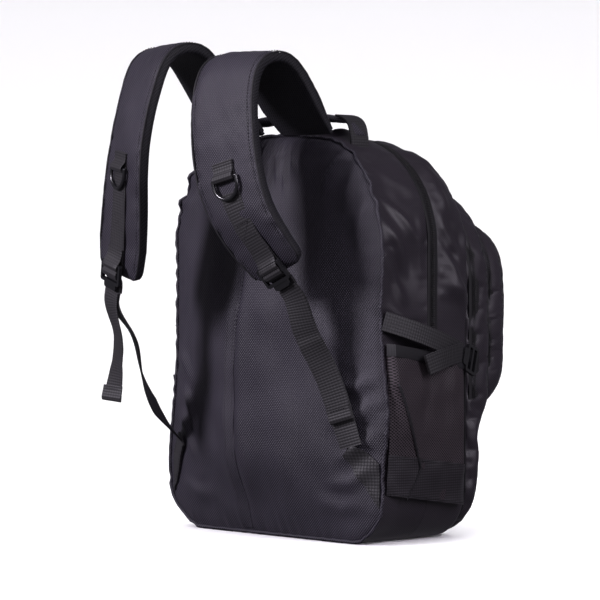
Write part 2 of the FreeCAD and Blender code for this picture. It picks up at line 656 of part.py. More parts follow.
HALF_WIDTH = S["body_width"] / 2
ANCHOR_X = HALF_WIDTH - 22
ANCHOR_Z = S["foot_radius"] + 46
LOWER_PATH = {
    "right": [(HALF_WIDTH - 54, -61, HIGH - 191), (HALF_WIDTH - 49, -42, HIGH - 216),
              (HALF_WIDTH - 39, -31, ANCHOR_Z + 64), (HALF_WIDTH - 30, -26, ANCHOR_Z + 34)],
    "left": [(62 - HALF_WIDTH, -118, HIGH - 194), (56 - HALF_WIDTH, -103, HIGH - 212),
             (43 - HALF_WIDTH, -86, ANCHOR_Z + 74), (33 - HALF_WIDTH, -62, ANCHOR_Z + 40),
             (27 - HALF_WIDTH, -36, ANCHOR_Z + 16)],
}
TAIL_PATH = {
    "right": [(HALF_WIDTH - 53, -70, HIGH - 196), (HALF_WIDTH - 47, -51, HIGH - 226),
              (HALF_WIDTH - 38, -42, ANCHOR_Z + 56), (HALF_WIDTH - 30, -36, ANCHOR_Z + 28),
              (HALF_WIDTH - 24, -32, ANCHOR_Z + 7)],
    "left": [(58 - HALF_WIDTH, -128, HIGH - 202), (53 - HALF_WIDTH, -124, HIGH - 223),
             (49 - HALF_WIDTH, -124, HIGH - 245), (47 - HALF_WIDTH, -127, HIGH - 269)],
}


def lower_webbings():
    """From each lock down to a tab in the corner seam, with the loose end of the webbing beside it."""
    for side, sign in SIDES.items():
        lock = doc.getObject(f"{side}_lock_body")
        turn = lock.Placement.Rotation
        along, out = turn.multVec(Vector(1, 0, 0)), turn.multVec(Vector(0, 0, 1))
        run = 3 * S["lock_bar"] + 2 * S["lock_slot"] + S["lock_lip"]
        start = lock.Placement.Base + along * (run + 3 * S["curve_play"])
        tip = (sign * ANCHOR_X, back_y(ANCHOR_X, ANCHOR_Z) - 2.5 * S["tab_wall"], ANCHOR_Z + 4)
        wide, wall = [S["webbing_width"]] * 2, [S["webbing_wall"]] * 2
        across = [turn.multVec(Vector(0, 1, 0)), Vector(1, 0, 0), Vector(1, 0, 0.25 * sign)]
        main = [start - out * (S["lock_wall"] / 2), start + along * 10 - out * (S["lock_wall"] / 2)]
        main += LOWER_PATH[side] + [tip]
        fabric(f"{side}_lower_webbing", ribbon(stations(main, across), wide, wall))
        loose = [start + out * (S["lock_wall"] / 2), start + along * 10 + out * (S["lock_wall"] / 2)]
        loose += TAIL_PATH[side]
        fabric(f"{side}_webbing_tail", ribbon(stations(loose, across), wide, wall))
        corner = S["body_width"] / 2 - 3
        outline = [(corner, S["foot_radius"] - 2), (corner, S["foot_radius"] + 46), (ANCHOR_X - 6, ANCHOR_Z + 2),
                   (ANCHOR_X - 6, ANCHOR_Z - 14)]
        lift = S["soft_gap"] + S["curve_play"] / 2
        faces = []
        for thick in (lift, lift + S["tab_wall"]):
            points = [Vector(sign * x, back_y(x, z) - thick, z) for x, z in outline]
            faces.append(Part.makePolygon(points + points[:1]))
        fabric(f"{side}_anchor_tab", Part.makeLoft(faces, True, True))


COMPRESSION = [(1.6, 1, 222), (15.6, 33, 211), (18.4, 60, 202), (16.2, 82, 195), (12.4, 98.2, 189.6)]
COMPRESSION_TAIL = [(12.8, 98.2, 189.6), (18.6, 82, 188), (22.5, 62, 184), (21.5, 42, 178)]
LOCK_SEAT = (4.5, 127, 178)
LOCK_RISE = 0.36
LOCK_LEAN = 0.3


def compression_straps():
    """On each side a short strap from the corner seam to a ladder lock sewn at the front seam."""
    half = S["body_width"] / 2
    wide, wall = [S["side_webbing_width"]] * 2, [S["webbing_wall"]] * 2
    for side, sign in SIDES.items():
        def points(offsets):
            return [(sign * (half + out), y, z) for out, y, z in offsets]
        across = [(0, 0.35, 1), (0, 0.35, 1)]
        tight, loose = (ribbon(stations(points(path), across), wide, wall)
                        for path in (COMPRESSION, COMPRESSION_TAIL))
        fabric(f"{side}_compression_strap", tight.fuse(loose))
        origin = points([LOCK_SEAT])[0]
        along, out = (LOCK_LEAN * sign, -1, LOCK_RISE), (sign, LOCK_LEAN, 0)
        lock = ladder_lock(f"{side}_compression_lock", "side_webbing_width")
        node(f"{side}_compression_lock", seat(lock, origin, along, out))
        centre = Vector(*origin) + Vector(*along).normalize() * (S["lock_bar"] / 2)
        loop = webbing_loop(f"{side}_compression_loop", LOCK_HOLE, "side_webbing_width", "lock_slot")
        node(f"{side}_compression_loop", seat(loop, centre, along, out))


def grab_handle():
    """A padded grip between two sewn tabs on the top panel. It turns about the line through the tabs' tops."""
    half, high, y = S["handle_half"], S["body_height"], S["handle_setback"]
    inner = S["body_width"] / 2 - S["crown_radius"]
    rise = S["handle_rise"]
    axis = high + S["handle_axis"]
    arch = [(-half, y, axis), (-half + 4, y, axis + rise * 0.36), (-half * 0.74, y, axis + rise * 0.76),
            (0, y, axis + rise)]
    arch += [(-x, y, z) for x, y, z in arch[-2::-1]]
    thin, wide = S["webbing_wall"] * 2, S["handle_width"]
    walls = [thin] + [S["handle_wall"]] * 5 + [thin]
    widths = [S["handle_root_width"], wide, wide, wide, wide, wide, S["handle_root_width"]]
    fabric("grab_handle", ribbon(stations(arch, [(0, 1, 0), (0, 1, 0)]), widths, walls))
    for side, sign in SIDES.items():
        seat_z = high - S["crown_radius"] + math.sqrt(S["crown_radius"] ** 2 - (half - inner) ** 2)
        foot = Vector(sign * half, y, seat_z + thin / 4 + S["soft_gap"])
        top = Vector(sign * half, y, axis - S["handle_play"])
        across = Vector(0, wide * 0.3, 0)
        thick = Vector(thin / 2, 0, 0)
        corners = [foot - across - thick, foot + across - thick, foot + across + thick, foot - across + thick]
        wire = Part.makePolygon(corners + corners[:1])
        fabric(f"{side}_handle_tab", Part.Face(wire).extrude(top - foot))


def check_and_write():
    doc.recompute()
    for thing in doc.Objects:
        if {"Invalid", "Error"} & set(thing.State):
            raise RuntimeError(f"{thing.Label} failed: {thing.State}")
    for piece in subparts:
        if piece.Shape.isNull() or not piece.Shape.isValid() or not piece.Shape.Solids:
            raise RuntimeError(f"{piece.Label} has no valid solid")
    os.makedirs("parts", exist_ok=True)
    for piece in subparts:
        piece.Shape.exportStep(f"parts/{piece.Label}.step")
        bounds = piece.Shape.optimalBoundingBox(True, False)
        print(f"{piece.Label:26}{len(piece.Shape.Solids):3}{piece.Shape.Volume / 1000:10.2f} cm3 "
              f"x {bounds.XMin:7.1f} {bounds.XMax:7.1f}  y {bounds.YMin:7.1f} {bounds.YMax:7.1f}  "
              f"z {bounds.ZMin:7.1f} {bounds.ZMax:7.1f}")


for build in (main_panels, back_panel, front_lobes, side_pockets, zip_hardware, straps, lower_webbings,
              compression_straps, grab_handle, check_and_write):
    build()
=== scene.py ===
"""The looks of a black school backpack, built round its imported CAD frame.

Lengths inside this file are millimetres in the frame's own axes: X to the wearer's right seen from behind the
bag, Y from the back panel to the pocket, Z up. make() turns them into metres.
"""

import json
import math

import bmesh
import bpy
import numpy as np
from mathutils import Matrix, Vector
from mathutils.bvhtree import BVHTree

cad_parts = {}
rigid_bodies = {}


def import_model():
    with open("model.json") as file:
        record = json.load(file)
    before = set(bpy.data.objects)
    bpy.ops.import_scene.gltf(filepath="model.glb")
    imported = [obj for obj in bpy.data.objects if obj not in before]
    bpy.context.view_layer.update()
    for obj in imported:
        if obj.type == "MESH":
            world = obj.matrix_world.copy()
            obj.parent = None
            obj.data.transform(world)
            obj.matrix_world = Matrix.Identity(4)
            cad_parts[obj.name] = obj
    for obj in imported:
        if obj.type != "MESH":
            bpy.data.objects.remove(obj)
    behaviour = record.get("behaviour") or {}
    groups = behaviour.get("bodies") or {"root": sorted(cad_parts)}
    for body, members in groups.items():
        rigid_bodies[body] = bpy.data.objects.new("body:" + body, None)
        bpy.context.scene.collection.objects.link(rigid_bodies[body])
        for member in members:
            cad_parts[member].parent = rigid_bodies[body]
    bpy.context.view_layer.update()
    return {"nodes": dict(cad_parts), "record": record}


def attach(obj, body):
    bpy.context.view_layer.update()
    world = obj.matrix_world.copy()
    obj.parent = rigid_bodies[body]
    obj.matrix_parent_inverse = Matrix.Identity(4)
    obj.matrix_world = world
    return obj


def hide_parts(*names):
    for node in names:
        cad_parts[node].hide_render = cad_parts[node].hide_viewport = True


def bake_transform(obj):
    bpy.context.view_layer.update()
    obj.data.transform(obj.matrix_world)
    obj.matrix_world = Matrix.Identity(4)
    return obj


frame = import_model()
MM = 0.001
SIDES = {"right": 1, "left": -1}

# ---------------------------------------------------------------- camera, lights and stage

RIGHT = Vector((0.669, 0.743, 0.0))
BACK = Vector((0.743, -0.669, 0.009)).normalized()
TARGET = Vector((0.0, 0.040, 0.262))
AIM = TARGET - RIGHT * 0.0052 + Vector((0, 0, -0.0207))
DISTANCE = 2.8


def aim(thing, place, at):
    thing.location = place
    thing.rotation_euler = (Vector(at) - Vector(place)).to_track_quat("-Z", "Y").to_euler()


def stage_and_camera():
    camera = bpy.data.objects.new("camera", bpy.data.cameras.new("camera"))
    bpy.context.scene.collection.objects.link(camera)
    camera.data.lens = 162.3
    camera.data.clip_end = 50
    aim(camera, AIM + BACK * DISTANCE, AIM)
    bpy.context.scene.camera = camera

    rows = []
    for i in range(40):
        far = -6 + 12 * i / 39
        lift = max(0.0, far - 3.0)
        rows.append((far, lift ** 2 * 0.5))
    points, faces = [], []
    ahead = -BACK.copy()
    ahead.z = 0
    ahead.normalize()
    for far, high in rows:
        for wide in (-7, 7):
            spot = ahead * far + RIGHT * wide
            points.append((spot.x, spot.y, high - 0.0008))
    for i in range(len(rows) - 1):
        faces.append((2 * i, 2 * i + 1, 2 * i + 3, 2 * i + 2))
    mesh = bpy.data.meshes.new("floor")
    mesh.from_pydata(points, [], faces)
    mesh.shade_smooth()
    floor = bpy.data.objects.new("floor", mesh)
    bpy.context.scene.collection.objects.link(floor)
    paper = bpy.data.materials.new("paper")
    paper.use_nodes = True
    shader = paper.node_tree.nodes["Principled BSDF"]
    shader.inputs["Base Color"].default_value = (0.93, 0.93, 0.93, 1)
    shader.inputs["Roughness"].default_value = 0.9
    shader.inputs["Specular IOR Level"].default_value = 0.1
    mesh.materials.append(paper)
    floor.visible_diffuse = floor.visible_glossy = False  # it throws no light back on the black cloth

    def softbox(name, place, size, power, at=(0, 0.03, 0.25)):
        light = bpy.data.lights.new(name, "AREA")
        light.shape = "RECTANGLE"
        light.size, light.size_y = size
        light.energy = power
        light.color = (1.0, 0.94, 1.07)
        lamp = bpy.data.objects.new(name, light)
        bpy.context.scene.collection.objects.link(lamp)
        aim(lamp, place, at)

    softbox("key", AIM + Vector((-0.45, -2.2, 0.95)), (0.5, 0.6), 60)
    softbox("side", AIM + Vector((2.2, 0.25, 0.9)), (0.6, 1.4), 24)
    softbox("front_fill", AIM + BACK * 2.4 + Vector((0, 0, 1.1)), (1.6, 1.6), 12)
    softbox("top", AIM + Vector((0.2, -0.4, 2.2)), (1.2, 1.2), 9)
    wash = bpy.data.lights.new("floor_wash", "SUN")
    wash.energy = 3.7
    wash.angle = math.radians(100)
    lamp = bpy.data.objects.new("floor_wash", wash)
    bpy.context.scene.collection.objects.link(lamp)
    only_floor = bpy.data.collections.new("only_floor")
    only_floor.objects.link(floor)
    lamp.light_linking.receiver_collection = only_floor
    bpy.context.scene.view_settings.view_transform = "Standard"
    world = bpy.data.worlds.new("studio")
    bpy.context.scene.world = world
    world.use_nodes = True
    world.node_tree.nodes["Background"].inputs["Color"].default_value = (1.0, 0.95, 1.08, 1)
    world.node_tree.nodes["Background"].inputs["Strength"].default_value = 0.10


# ---------------------------------------------------------------- materials

def add(tree, kind, inputs=None, **settings):
    node = tree.nodes.new(kind)
    for key, value in settings.items():
        setattr(node, key, value)
    for key, value in (inputs or {}).items():
        if isinstance(value, bpy.types.NodeSocket):
            tree.links.new(value, node.inputs[key])
        else:
            node.inputs[key].default_value = value
    return node


def calc(tree, how, *values):
    node = add(tree, "ShaderNodeMath", dict(enumerate(values)), operation=how)
    return node.outputs[0]


def ripple(tree, value, pitch):
    """0 to 1 and back over each pitch of a length in metres."""
    turn = calc(tree, "MULTIPLY", value, 2 * math.pi / (pitch * MM))
    return calc(tree, "MULTIPLY_ADD", calc(tree, "SINE", turn), 0.5, 0.5)


def surface(name, dark, light, roughness, sheen=0.0, specular=0.5, sheen_rough=0.4):
    """A material between two shades. Returns it, its tree, its shader and where to plug a 0-1 shade."""
    stuff = bpy.data.materials.new(name)
    stuff.use_nodes = True
    tree = stuff.node_tree
    shader = tree.nodes["Principled BSDF"]
    shader.inputs["Roughness"].default_value = roughness
    shader.inputs["Specular IOR Level"].default_value = specular
    shader.inputs["Sheen Weight"].default_value = sheen
    shader.inputs["Sheen Roughness"].default_value = sheen_rough
    shader.inputs["Sheen Tint"].default_value = (0.86, 0.85, 1.0, 1)
    mix = add(tree, "ShaderNodeMix", {6: (*dark, 1), 7: (*light, 1)}, data_type="RGBA")
    tree.links.new(mix.outputs[2], shader.inputs["Base Color"])
    return stuff, tree, shader, mix.inputs[0]


def finish_surface(tree, shader, shade_in, shade, height, depth, rough=None):
    """Wire the shade, the bump from a 0-1 height, and roughness between two values."""
    tree.links.new(shade, shade_in)
    bump = add(tree, "ShaderNodeBump", {"Height": height, "Strength": 1.0, "Distance": depth * MM})
    tree.links.new(bump.outputs[0], shader.inputs["Normal"])
    if rough is not None:
        low, high, value = rough
        spread = add(tree, "ShaderNodeMapRange", {"Value": value, 3: low, 4: high})
        tree.links.new(spread.outputs[0], shader.inputs["Roughness"])


def woven(name, dark, light, pitch, roughness, sheen, specular, depth, blotch=0.35, diagonal=True):
    """Cloth with a diagonal or a plain weave, uneven dye and a little wear."""
    stuff, tree, shader, shade_in = surface(name, dark, light, roughness, sheen, specular)
    where = add(tree, "ShaderNodeTexCoord").outputs["Object"]
    parts = add(tree, "ShaderNodeSeparateXYZ", {0: where})
    x, y, z = (parts.outputs[i] for i in range(3))
    flat = calc(tree, "ADD", x, y)
    if diagonal:
        rows = ripple(tree, calc(tree, "SUBTRACT", flat, z), pitch)
        yarns = ripple(tree, calc(tree, "ADD", flat, z), pitch)
    else:
        rows, yarns = ripple(tree, z, pitch), ripple(tree, flat, pitch)
    crossings = calc(tree, "MULTIPLY", rows, yarns)
    weave = calc(tree, "MULTIPLY_ADD", rows, 0.3, calc(tree, "MULTIPLY", crossings, 0.9))
    fine = add(tree, "ShaderNodeTexNoise", {"Vector": where, "Scale": 900.0, "Detail": 2.0})
    broad = add(tree, "ShaderNodeTexNoise", {"Vector": where, "Scale": 14.0, "Detail": 3.0})
    height = calc(tree, "MULTIPLY_ADD", fine.outputs[0], 0.25, weave)
    shade = calc(tree, "MULTIPLY_ADD", calc(tree, "SUBTRACT", broad.outputs[0], 0.5), blotch,
                 calc(tree, "MULTIPLY_ADD", weave, 0.85, calc(tree, "MULTIPLY", fine.outputs[0], 0.2)))
    finish_surface(tree, shader, shade_in, shade, height, depth,
                   (roughness - 0.07, roughness + 0.09, broad.outputs[0]))
    return stuff


def ribbed(name, dark, light, across, along, roughness, specular, depth):
    """Webbing or tape: ribs across a band and a finer weave along it, laid out by its own UV in metres."""
    stuff, tree, shader, shade_in = surface(name, dark, light, roughness, 0.02, specular)
    uv = add(tree, "ShaderNodeUVMap", uv_map="band").outputs[0]
    parts = add(tree, "ShaderNodeSeparateXYZ", {0: uv})
    ribs = ripple(tree, parts.outputs[1], along)
    lines = ripple(tree, parts.outputs[0], across)
    weave = calc(tree, "MULTIPLY_ADD", ribs, 0.6, calc(tree, "MULTIPLY", lines, 0.4))
    where = add(tree, "ShaderNodeTexCoord").outputs["Object"]
    fine = add(tree, "ShaderNodeTexNoise", {"Vector": where, "Scale": 1300.0, "Detail": 2.0})
    broad = add(tree, "ShaderNodeTexNoise", {"Vector": where, "Scale": 30.0, "Detail": 2.0})
    shade = calc(tree, "MULTIPLY_ADD", weave, 0.5, calc(tree, "MULTIPLY_ADD", fine.outputs[0], 0.3,
                 calc(tree, "MULTIPLY", broad.outputs[0], 0.3)))
    height = calc(tree, "MULTIPLY_ADD", fine.outputs[0], 0.3, weave)
    finish_surface(tree, shader, shade_in, shade, height, depth)
    return stuff


def open_mesh(name, dark, light, pitch, roughness, depth, uv_map=None):
    """A knitted net: round holes in staggered rows."""
    stuff, tree, shader, shade_in = surface(name, dark, light, roughness, 0.02, 0.3)
    if uv_map:
        where = add(tree, "ShaderNodeUVMap", uv_map=uv_map).outputs[0]
        parts = add(tree, "ShaderNodeSeparateXYZ", {0: where})
        a, b = parts.outputs[0], parts.outputs[1]
    else:
        where = add(tree, "ShaderNodeTexCoord").outputs["Object"]
        parts = add(tree, "ShaderNodeSeparateXYZ", {0: where})
        a = calc(tree, "ADD", parts.outputs[0], calc(tree, "MULTIPLY", parts.outputs[1], 0.9))
        b = calc(tree, "ADD", parts.outputs[2], calc(tree, "MULTIPLY", parts.outputs[1], 0.35))
    one = calc(tree, "MULTIPLY", ripple(tree, a, pitch), ripple(tree, b, pitch))
    half = pitch * MM / 2
    other = calc(tree, "MULTIPLY", ripple(tree, calc(tree, "ADD", a, half), pitch),
                 ripple(tree, calc(tree, "ADD", b, half), pitch))
    holes = calc(tree, "MAXIMUM", one, other)
    solid = add(tree, "ShaderNodeMapRange", {"Value": holes, 1: 0.42, 2: 0.62, 3: 1.0, 4: 0.0})
    fine = add(tree, "ShaderNodeTexNoise", {"Vector": where, "Scale": 900.0})
    shade = calc(tree, "MULTIPLY", solid.outputs[0], calc(tree, "MULTIPLY_ADD", fine.outputs[0], 0.6, 0.6))
    finish_surface(tree, shader, shade_in, shade, solid.outputs[0], depth)
    return stuff


def moulded(name, colour, roughness, specular=0.5, metallic=0.0):
    """Injection-moulded plastic or painted metal with a faint grain and worn, shinier patches."""
    lighter = tuple(min(1.0, c * 1.9 + 0.004) for c in colour)
    stuff, tree, shader, shade_in = surface(name, colour, lighter, roughness, 0.0, specular)
    shader.inputs["Metallic"].default_value = metallic
    where = add(tree, "ShaderNodeTexCoord").outputs["Object"]
    grain = add(tree, "ShaderNodeTexNoise", {"Vector": where, "Scale": 1800.0, "Detail": 3.0})
    rubbed = add(tree, "ShaderNodeTexNoise", {"Vector": where, "Scale": 160.0, "Detail": 4.0})
    shade = calc(tree, "MULTIPLY", rubbed.outputs[0], 0.6)
    finish_surface(tree, shader, shade_in, shade, grain.outputs[0], 0.04,
                   (roughness - 0.08, roughness + 0.12, rubbed.outputs[0]))
    return stuff


TWILL = (0.0015, 0.0013, 0.0020), (0.064, 0.057, 0.079), 3.4, 0.50, 0.02, 0.42, 0.42
MATERIALS = {
    "back_twill": woven("back_twill", *TWILL),
    "strap_twill": woven("strap_twill", *TWILL),
    "shell_fabric": woven("shell_fabric", (0.004, 0.0034, 0.0042), (0.052, 0.043, 0.056), 2.6, 0.38, 0.03,
                          0.40, 0.12),
    "base_fabric": woven("base_fabric", (0.006, 0.005, 0.006), (0.042, 0.037, 0.044), 2.6, 0.42, 0.02, 0.45,
                         0.10, diagonal=False),
    "lining": woven("lining", (0.008, 0.008, 0.009), (0.016, 0.016, 0.018), 0.9, 0.6, 0.01, 0.3, 0.05,
                    diagonal=False),
    "pocket_mesh": open_mesh("pocket_mesh", (0.0008, 0.0006, 0.0008), (0.062, 0.048, 0.056), 3.0, 0.6, 0.6,
                             "band"),
    "air_mesh": open_mesh("air_mesh", (0.001, 0.001, 0.0012), (0.020, 0.019, 0.024), 3.2, 0.6, 0.7),
    "binding": ribbed("binding", (0.004, 0.004, 0.0045), (0.015, 0.014, 0.017), 0.9, 1.2, 0.6, 0.35, 0.12),
    "webbing": ribbed("webbing", (0.002, 0.002, 0.002), (0.040, 0.038, 0.041), 3.2, 2.8, 0.55, 0.35, 0.35),
    "zip_tape": ribbed("zip_tape", (0.004, 0.004, 0.004), (0.014, 0.013, 0.015), 0.8, 0.9, 0.6, 0.35, 0.10),
    "coil": moulded("coil", (0.006, 0.006, 0.0065), 0.38),
    "thread": moulded("thread", (0.016, 0.015, 0.018), 0.6, 0.3),
    "buckle_plastic": moulded("buckle_plastic", (0.005, 0.005, 0.006), 0.20, 0.8),
    "ring_plastic": moulded("ring_plastic", (0.005, 0.005, 0.006), 0.20, 0.8),
    "zip_metal": moulded("zip_metal", (0.030, 0.030, 0.032), 0.34, 0.6, 0.4),
}

# ---------------------------------------------------------------- numbers and grids

def ease(value, low, high):
    share = np.clip((np.asarray(value, float) - low) / (high - low), 0, 1)
    return share * share * (3 - 2 * share)


def lumps(points, size, seed, waves=16):
    """Smooth seeded unevenness of about -1 to 1."""
    dice = np.random.RandomState(seed)
    ways = dice.normal(size=(waves, 3))
    ways /= np.linalg.norm(ways, axis=1)[:, None]
    ways *= 2 * np.pi / (size * dice.uniform(0.7, 1.6, (waves, 1)))
    return np.sin(points @ ways.T + dice.uniform(0, 6.28, waves)).sum(-1) * 1.3 / math.sqrt(waves)


def gathers(arc, seed, low=9.0, high=26.0, waves=9):
    """Uneven small pleats along a seam's length."""
    dice = np.random.RandomState(seed)
    total = 0
    for _ in range(waves):
        total = total + np.sin(arc * 2 * np.pi / dice.uniform(low, high) + dice.uniform(0, 6.28))
    return total / math.sqrt(waves)


def arc_of(line):
    """How far along a run of points each one is."""
    return np.concatenate([[0], np.cumsum(np.linalg.norm(np.diff(line, axis=0), axis=1))])


def reach(points, line):
    """How far each point is from a run of points, and how far along the run the nearest spot is, 0 to 1."""
    line = np.asarray(line, float)
    steps = np.linalg.norm(np.diff(line, axis=0), axis=1)
    starts = np.concatenate([[0], np.cumsum(steps)])
    best = np.full(points.shape[:-1], 1e9)
    share = np.zeros(points.shape[:-1])
    for i, step in enumerate(steps):
        run = line[i + 1] - line[i]
        t = np.clip(((points - line[i]) @ run) / step ** 2, 0, 1)
        away = np.linalg.norm(points - line[i] - t[..., None] * run, axis=-1)
        nearer = away < best
        best = np.where(nearer, away, best)
        share = np.where(nearer, (starts[i] + t * step) / starts[-1], share)
    return best, share


def fold(points, line, width, height, sharp=1.0):
    """A raised fold along a line with a shallow valley on each side. It fades at its ends."""
    away, share = reach(points, line)
    fade = np.clip(np.sin(np.pi * np.clip(0.02 + 0.96 * share, 0, 1)), 0, 1) ** 0.7
    near = (away / width) ** 2
    return height * fade * (1 - 0.8 * near) * np.exp(-near ** sharp)


def normals_of(grid, wrap=False):
    if wrap:
        du = np.roll(grid, -1, 1) - np.roll(grid, 1, 1)
    else:
        du = np.gradient(grid, axis=1)
    dv = np.gradient(grid, axis=0)
    n = np.cross(du, dv)
    size = np.linalg.norm(n, axis=-1, keepdims=True)
    return n / np.maximum(size, 1e-9)


def grid_faces(rows, cols, wrap=False, start=0):
    faces = []
    last = cols if wrap else cols - 1
    for i in range(rows - 1):
        for j in range(last):
            k = (j + 1) % cols
            a, b = start + i * cols, start + (i + 1) * cols
            faces.append((a + j, a + k, b + k, b + j))
    return faces


def make(name, points, faces, material, mats=None, uvs=None, crisp=50):
    """A mesh object from points in millimetres. mats gives a material index per face."""
    mesh = bpy.data.meshes.new(name)
    mesh.from_pydata([tuple(p) for p in np.asarray(points, float).reshape(-1, 3) * MM], [], faces)
    names = [material] if isinstance(material, str) else list(material)
    for each in names:
        mesh.materials.append(MATERIALS[each])
    if mats is not None:
        mesh.polygons.foreach_set("material_index", list(mats))
    if uvs is not None:
        layer = mesh.uv_layers.new(name="band")
        flat = np.asarray(uvs, float).reshape(-1, 2) * MM
        index = np.empty(len(mesh.loops), dtype=np.int32)
        mesh.loops.foreach_get("vertex_index", index)
        layer.data.foreach_set("uv", flat[index].ravel())
    mesh.validate()
    mesh.update()
    mesh.shade_smooth()
    if crisp:
        mesh.set_sharp_from_angle(angle=math.radians(crisp))
    piece = bpy.data.objects.new(name, mesh)
    bpy.context.scene.collection.objects.link(piece)
    return piece


def orient(piece):
    """Turn a closed piece's faces outwards."""
    shape = bmesh.new()
    shape.from_mesh(piece.data)
    bmesh.ops.recalc_face_normals(shape, faces=shape.faces)
    shape.to_mesh(piece.data)
    shape.free()
    return piece


def sheet_piece(name, grid, wall, material, slot=None, wrap=False, uvs=None, inner=None, outward=None,
                crisp=50):
    """A grid of points as closed cloth with a wall thickness. outward is a point behind the face."""
    rows, cols = grid.shape[:2]
    n = normals_of(grid, wrap)
    if outward is not None:
        facing = ((grid - np.asarray(outward, float)) * n).sum(-1).mean()
        if facing < 0:
            n = -n
    back = grid - n * wall
    count = rows * cols
    faces = grid_faces(rows, cols, wrap)
    mats = [0] * len(faces)
    under = [tuple(reversed(f)) for f in grid_faces(rows, cols, wrap, count)]
    faces += under
    mats += [1 if inner else 0] * len(under)
    rim = []
    last = cols if wrap else cols - 1
    for j in range(last):
        k = (j + 1) % cols
        rim.append((j, j + count, k + count, k))
        a, b = (rows - 1) * cols + j, (rows - 1) * cols + k
        rim.append((a, b, b + count, a + count))
    if not wrap:
        for i in range(rows - 1):
            a, b = i * cols, (i + 1) * cols
            rim.append((a, b, b + count, a + count))
            a, b = a + cols - 1, b + cols - 1
            rim.append((b, a, a + count, b + count))
    faces += rim
    mats += [0] * len(rim)
    points = np.concatenate([grid.reshape(-1, 3), back.reshape(-1, 3)])
    both = None if uvs is None else np.concatenate([uvs.reshape(-1, 2)] * 2)
    names = [material, inner] if inner else material
    if slot is None and isinstance(material, str):
        slot = material
    piece = make(name, points, faces, names, mats, both, crisp)
    return orient(piece)


def spline(points, count):
    """A natural cubic spline through points, at even steps of its chord length: places and directions."""
    p = np.asarray(points, float)
    t = arc_of(p)
    n = len(p)
    h = np.diff(t)
    system = np.zeros((n, n))
    right = np.zeros((n, p.shape[1]))
    system[0, 0] = system[-1, -1] = 1
    for i in range(1, n - 1):
        system[i, i - 1], system[i, i], system[i, i + 1] = h[i - 1], 2 * (h[i - 1] + h[i]), h[i]
        right[i] = 6 * ((p[i + 1] - p[i]) / h[i] - (p[i] - p[i - 1]) / h[i - 1])
    m = np.linalg.solve(system, right)
    at = np.linspace(0, t[-1], count)
    k = np.clip(np.searchsorted(t, at, side="right") - 1, 0, n - 2)
    a, b, w = (t[k + 1] - at)[:, None], (at - t[k])[:, None], h[k][:, None]
    place = (m[k] * a ** 3 + m[k + 1] * b ** 3) / (6 * w) + (p[k] / w - m[k] * w / 6) * a \
        + (p[k + 1] / w - m[k + 1] * w / 6) * b
    way = np.gradient(place, axis=0)
    way /= np.linalg.norm(way, axis=1, keepdims=True)
    return place, way


def blendlist(values, share):
    values = np.asarray(values, float)
    at = share * (len(values) - 1)
    i = np.minimum(at.astype(int), len(values) - 2)
    f = at - i
    if values.ndim > 1:
        f = f[:, None]
    return values[i] * (1 - f) + values[i + 1] * f


def stations(points, across, count):
    """Centre, direction, across and outward normal along a smooth path."""
    place, way = spline(points, count)
    wide = blendlist(across, np.linspace(0, 1, count))
    wide = wide - way * (wide * way).sum(1, keepdims=True)
    wide /= np.linalg.norm(wide, axis=1, keepdims=True)
    return place, way, wide, np.cross(way, wide)


def capped(rings):
    """Points and faces of a form made of rings, with a fan on each end."""
    count, around = rings.shape[:2]
    points = np.concatenate([rings.reshape(-1, 3), [rings[0].mean(0), rings[-1].mean(0)]])
    faces = grid_faces(count, around, True)
    a, b = count * around, count * around + 1
    for j in range(around):
        k = (j + 1) % around
        faces.append((a, k, j))
        faces.append((b, (count - 1) * around + j, (count - 1) * around + k))
    return points, faces


def rings_piece(name, rings, material, mats_of=None, crisp=50, uvs=None):
    """A closed form from rings of points with a cap on each end."""
    count, around = rings.shape[:2]
    points, faces = capped(rings)
    mats = [(mats_of(j) if mats_of else 0) for _ in range(count - 1) for j in range(around)]
    mats += [0] * (2 * around)
    if uvs is not None:
        uvs = np.concatenate([uvs.reshape(-1, 2), uvs[0].mean(0)[None], uvs[-1].mean(0)[None]])
    piece = make(name, points, faces, material, mats, uvs, crisp)
    return orient(piece)


BAND = [(-1, 0.35), (-0.96, 1), (-0.5, 1), (0, 1), (0.5, 1), (0.96, 1), (1, 0.35),
        (1, -0.35), (0.96, -1), (0.5, -1), (0, -1), (-0.5, -1), (-0.96, -1), (-1, -0.35)]


def band_piece(name, found, width, wall, lift=0.0, material="webbing", curl=0.0, seed=1):
    """Webbing or tape along stations. width and wall may be lists along the way."""
    place, way, wide, out = found
    count = len(place)
    share = np.linspace(0, 1, count)
    half = blendlist(width if isinstance(width, (list, tuple)) else [width] * 2, share) / 2
    thick = blendlist(wall if isinstance(wall, (list, tuple)) else [wall] * 2, share) / 2
    lift = blendlist(lift if isinstance(lift, (list, tuple)) else [lift] * 2, share)
    section = np.array(BAND)
    steps = arc_of(place)
    uneven = 1 + 0.012 * lumps(place, 14, seed)
    a = section[None, :, 0] * (half * uneven)[:, None]
    n = section[None, :, 1] * thick[:, None] + lift[:, None] + curl * section[None, :, 0] ** 2
    rings = place[:, None] + wide[:, None] * a[..., None] + out[:, None] * n[..., None]
    uvs = np.stack([a, np.repeat(steps[:, None], a.shape[1], 1)], -1)
    return rings_piece(name, rings, material, uvs=uvs, crisp=40)


def bead_faces(start, rings):
    """Faces of a closed bead of four-point rings."""
    faces = []
    for i in range(rings - 1):
        for j in range(4):
            k, p = (j + 1) % 4, start + i * 4
            faces.append((p + j, p + k, p + 4 + k, p + 4 + j))
    end = start + 4 * (rings - 1)
    return faces + [(start + 3, start + 2, start + 1, start), (end, end + 1, end + 2, end + 3)]


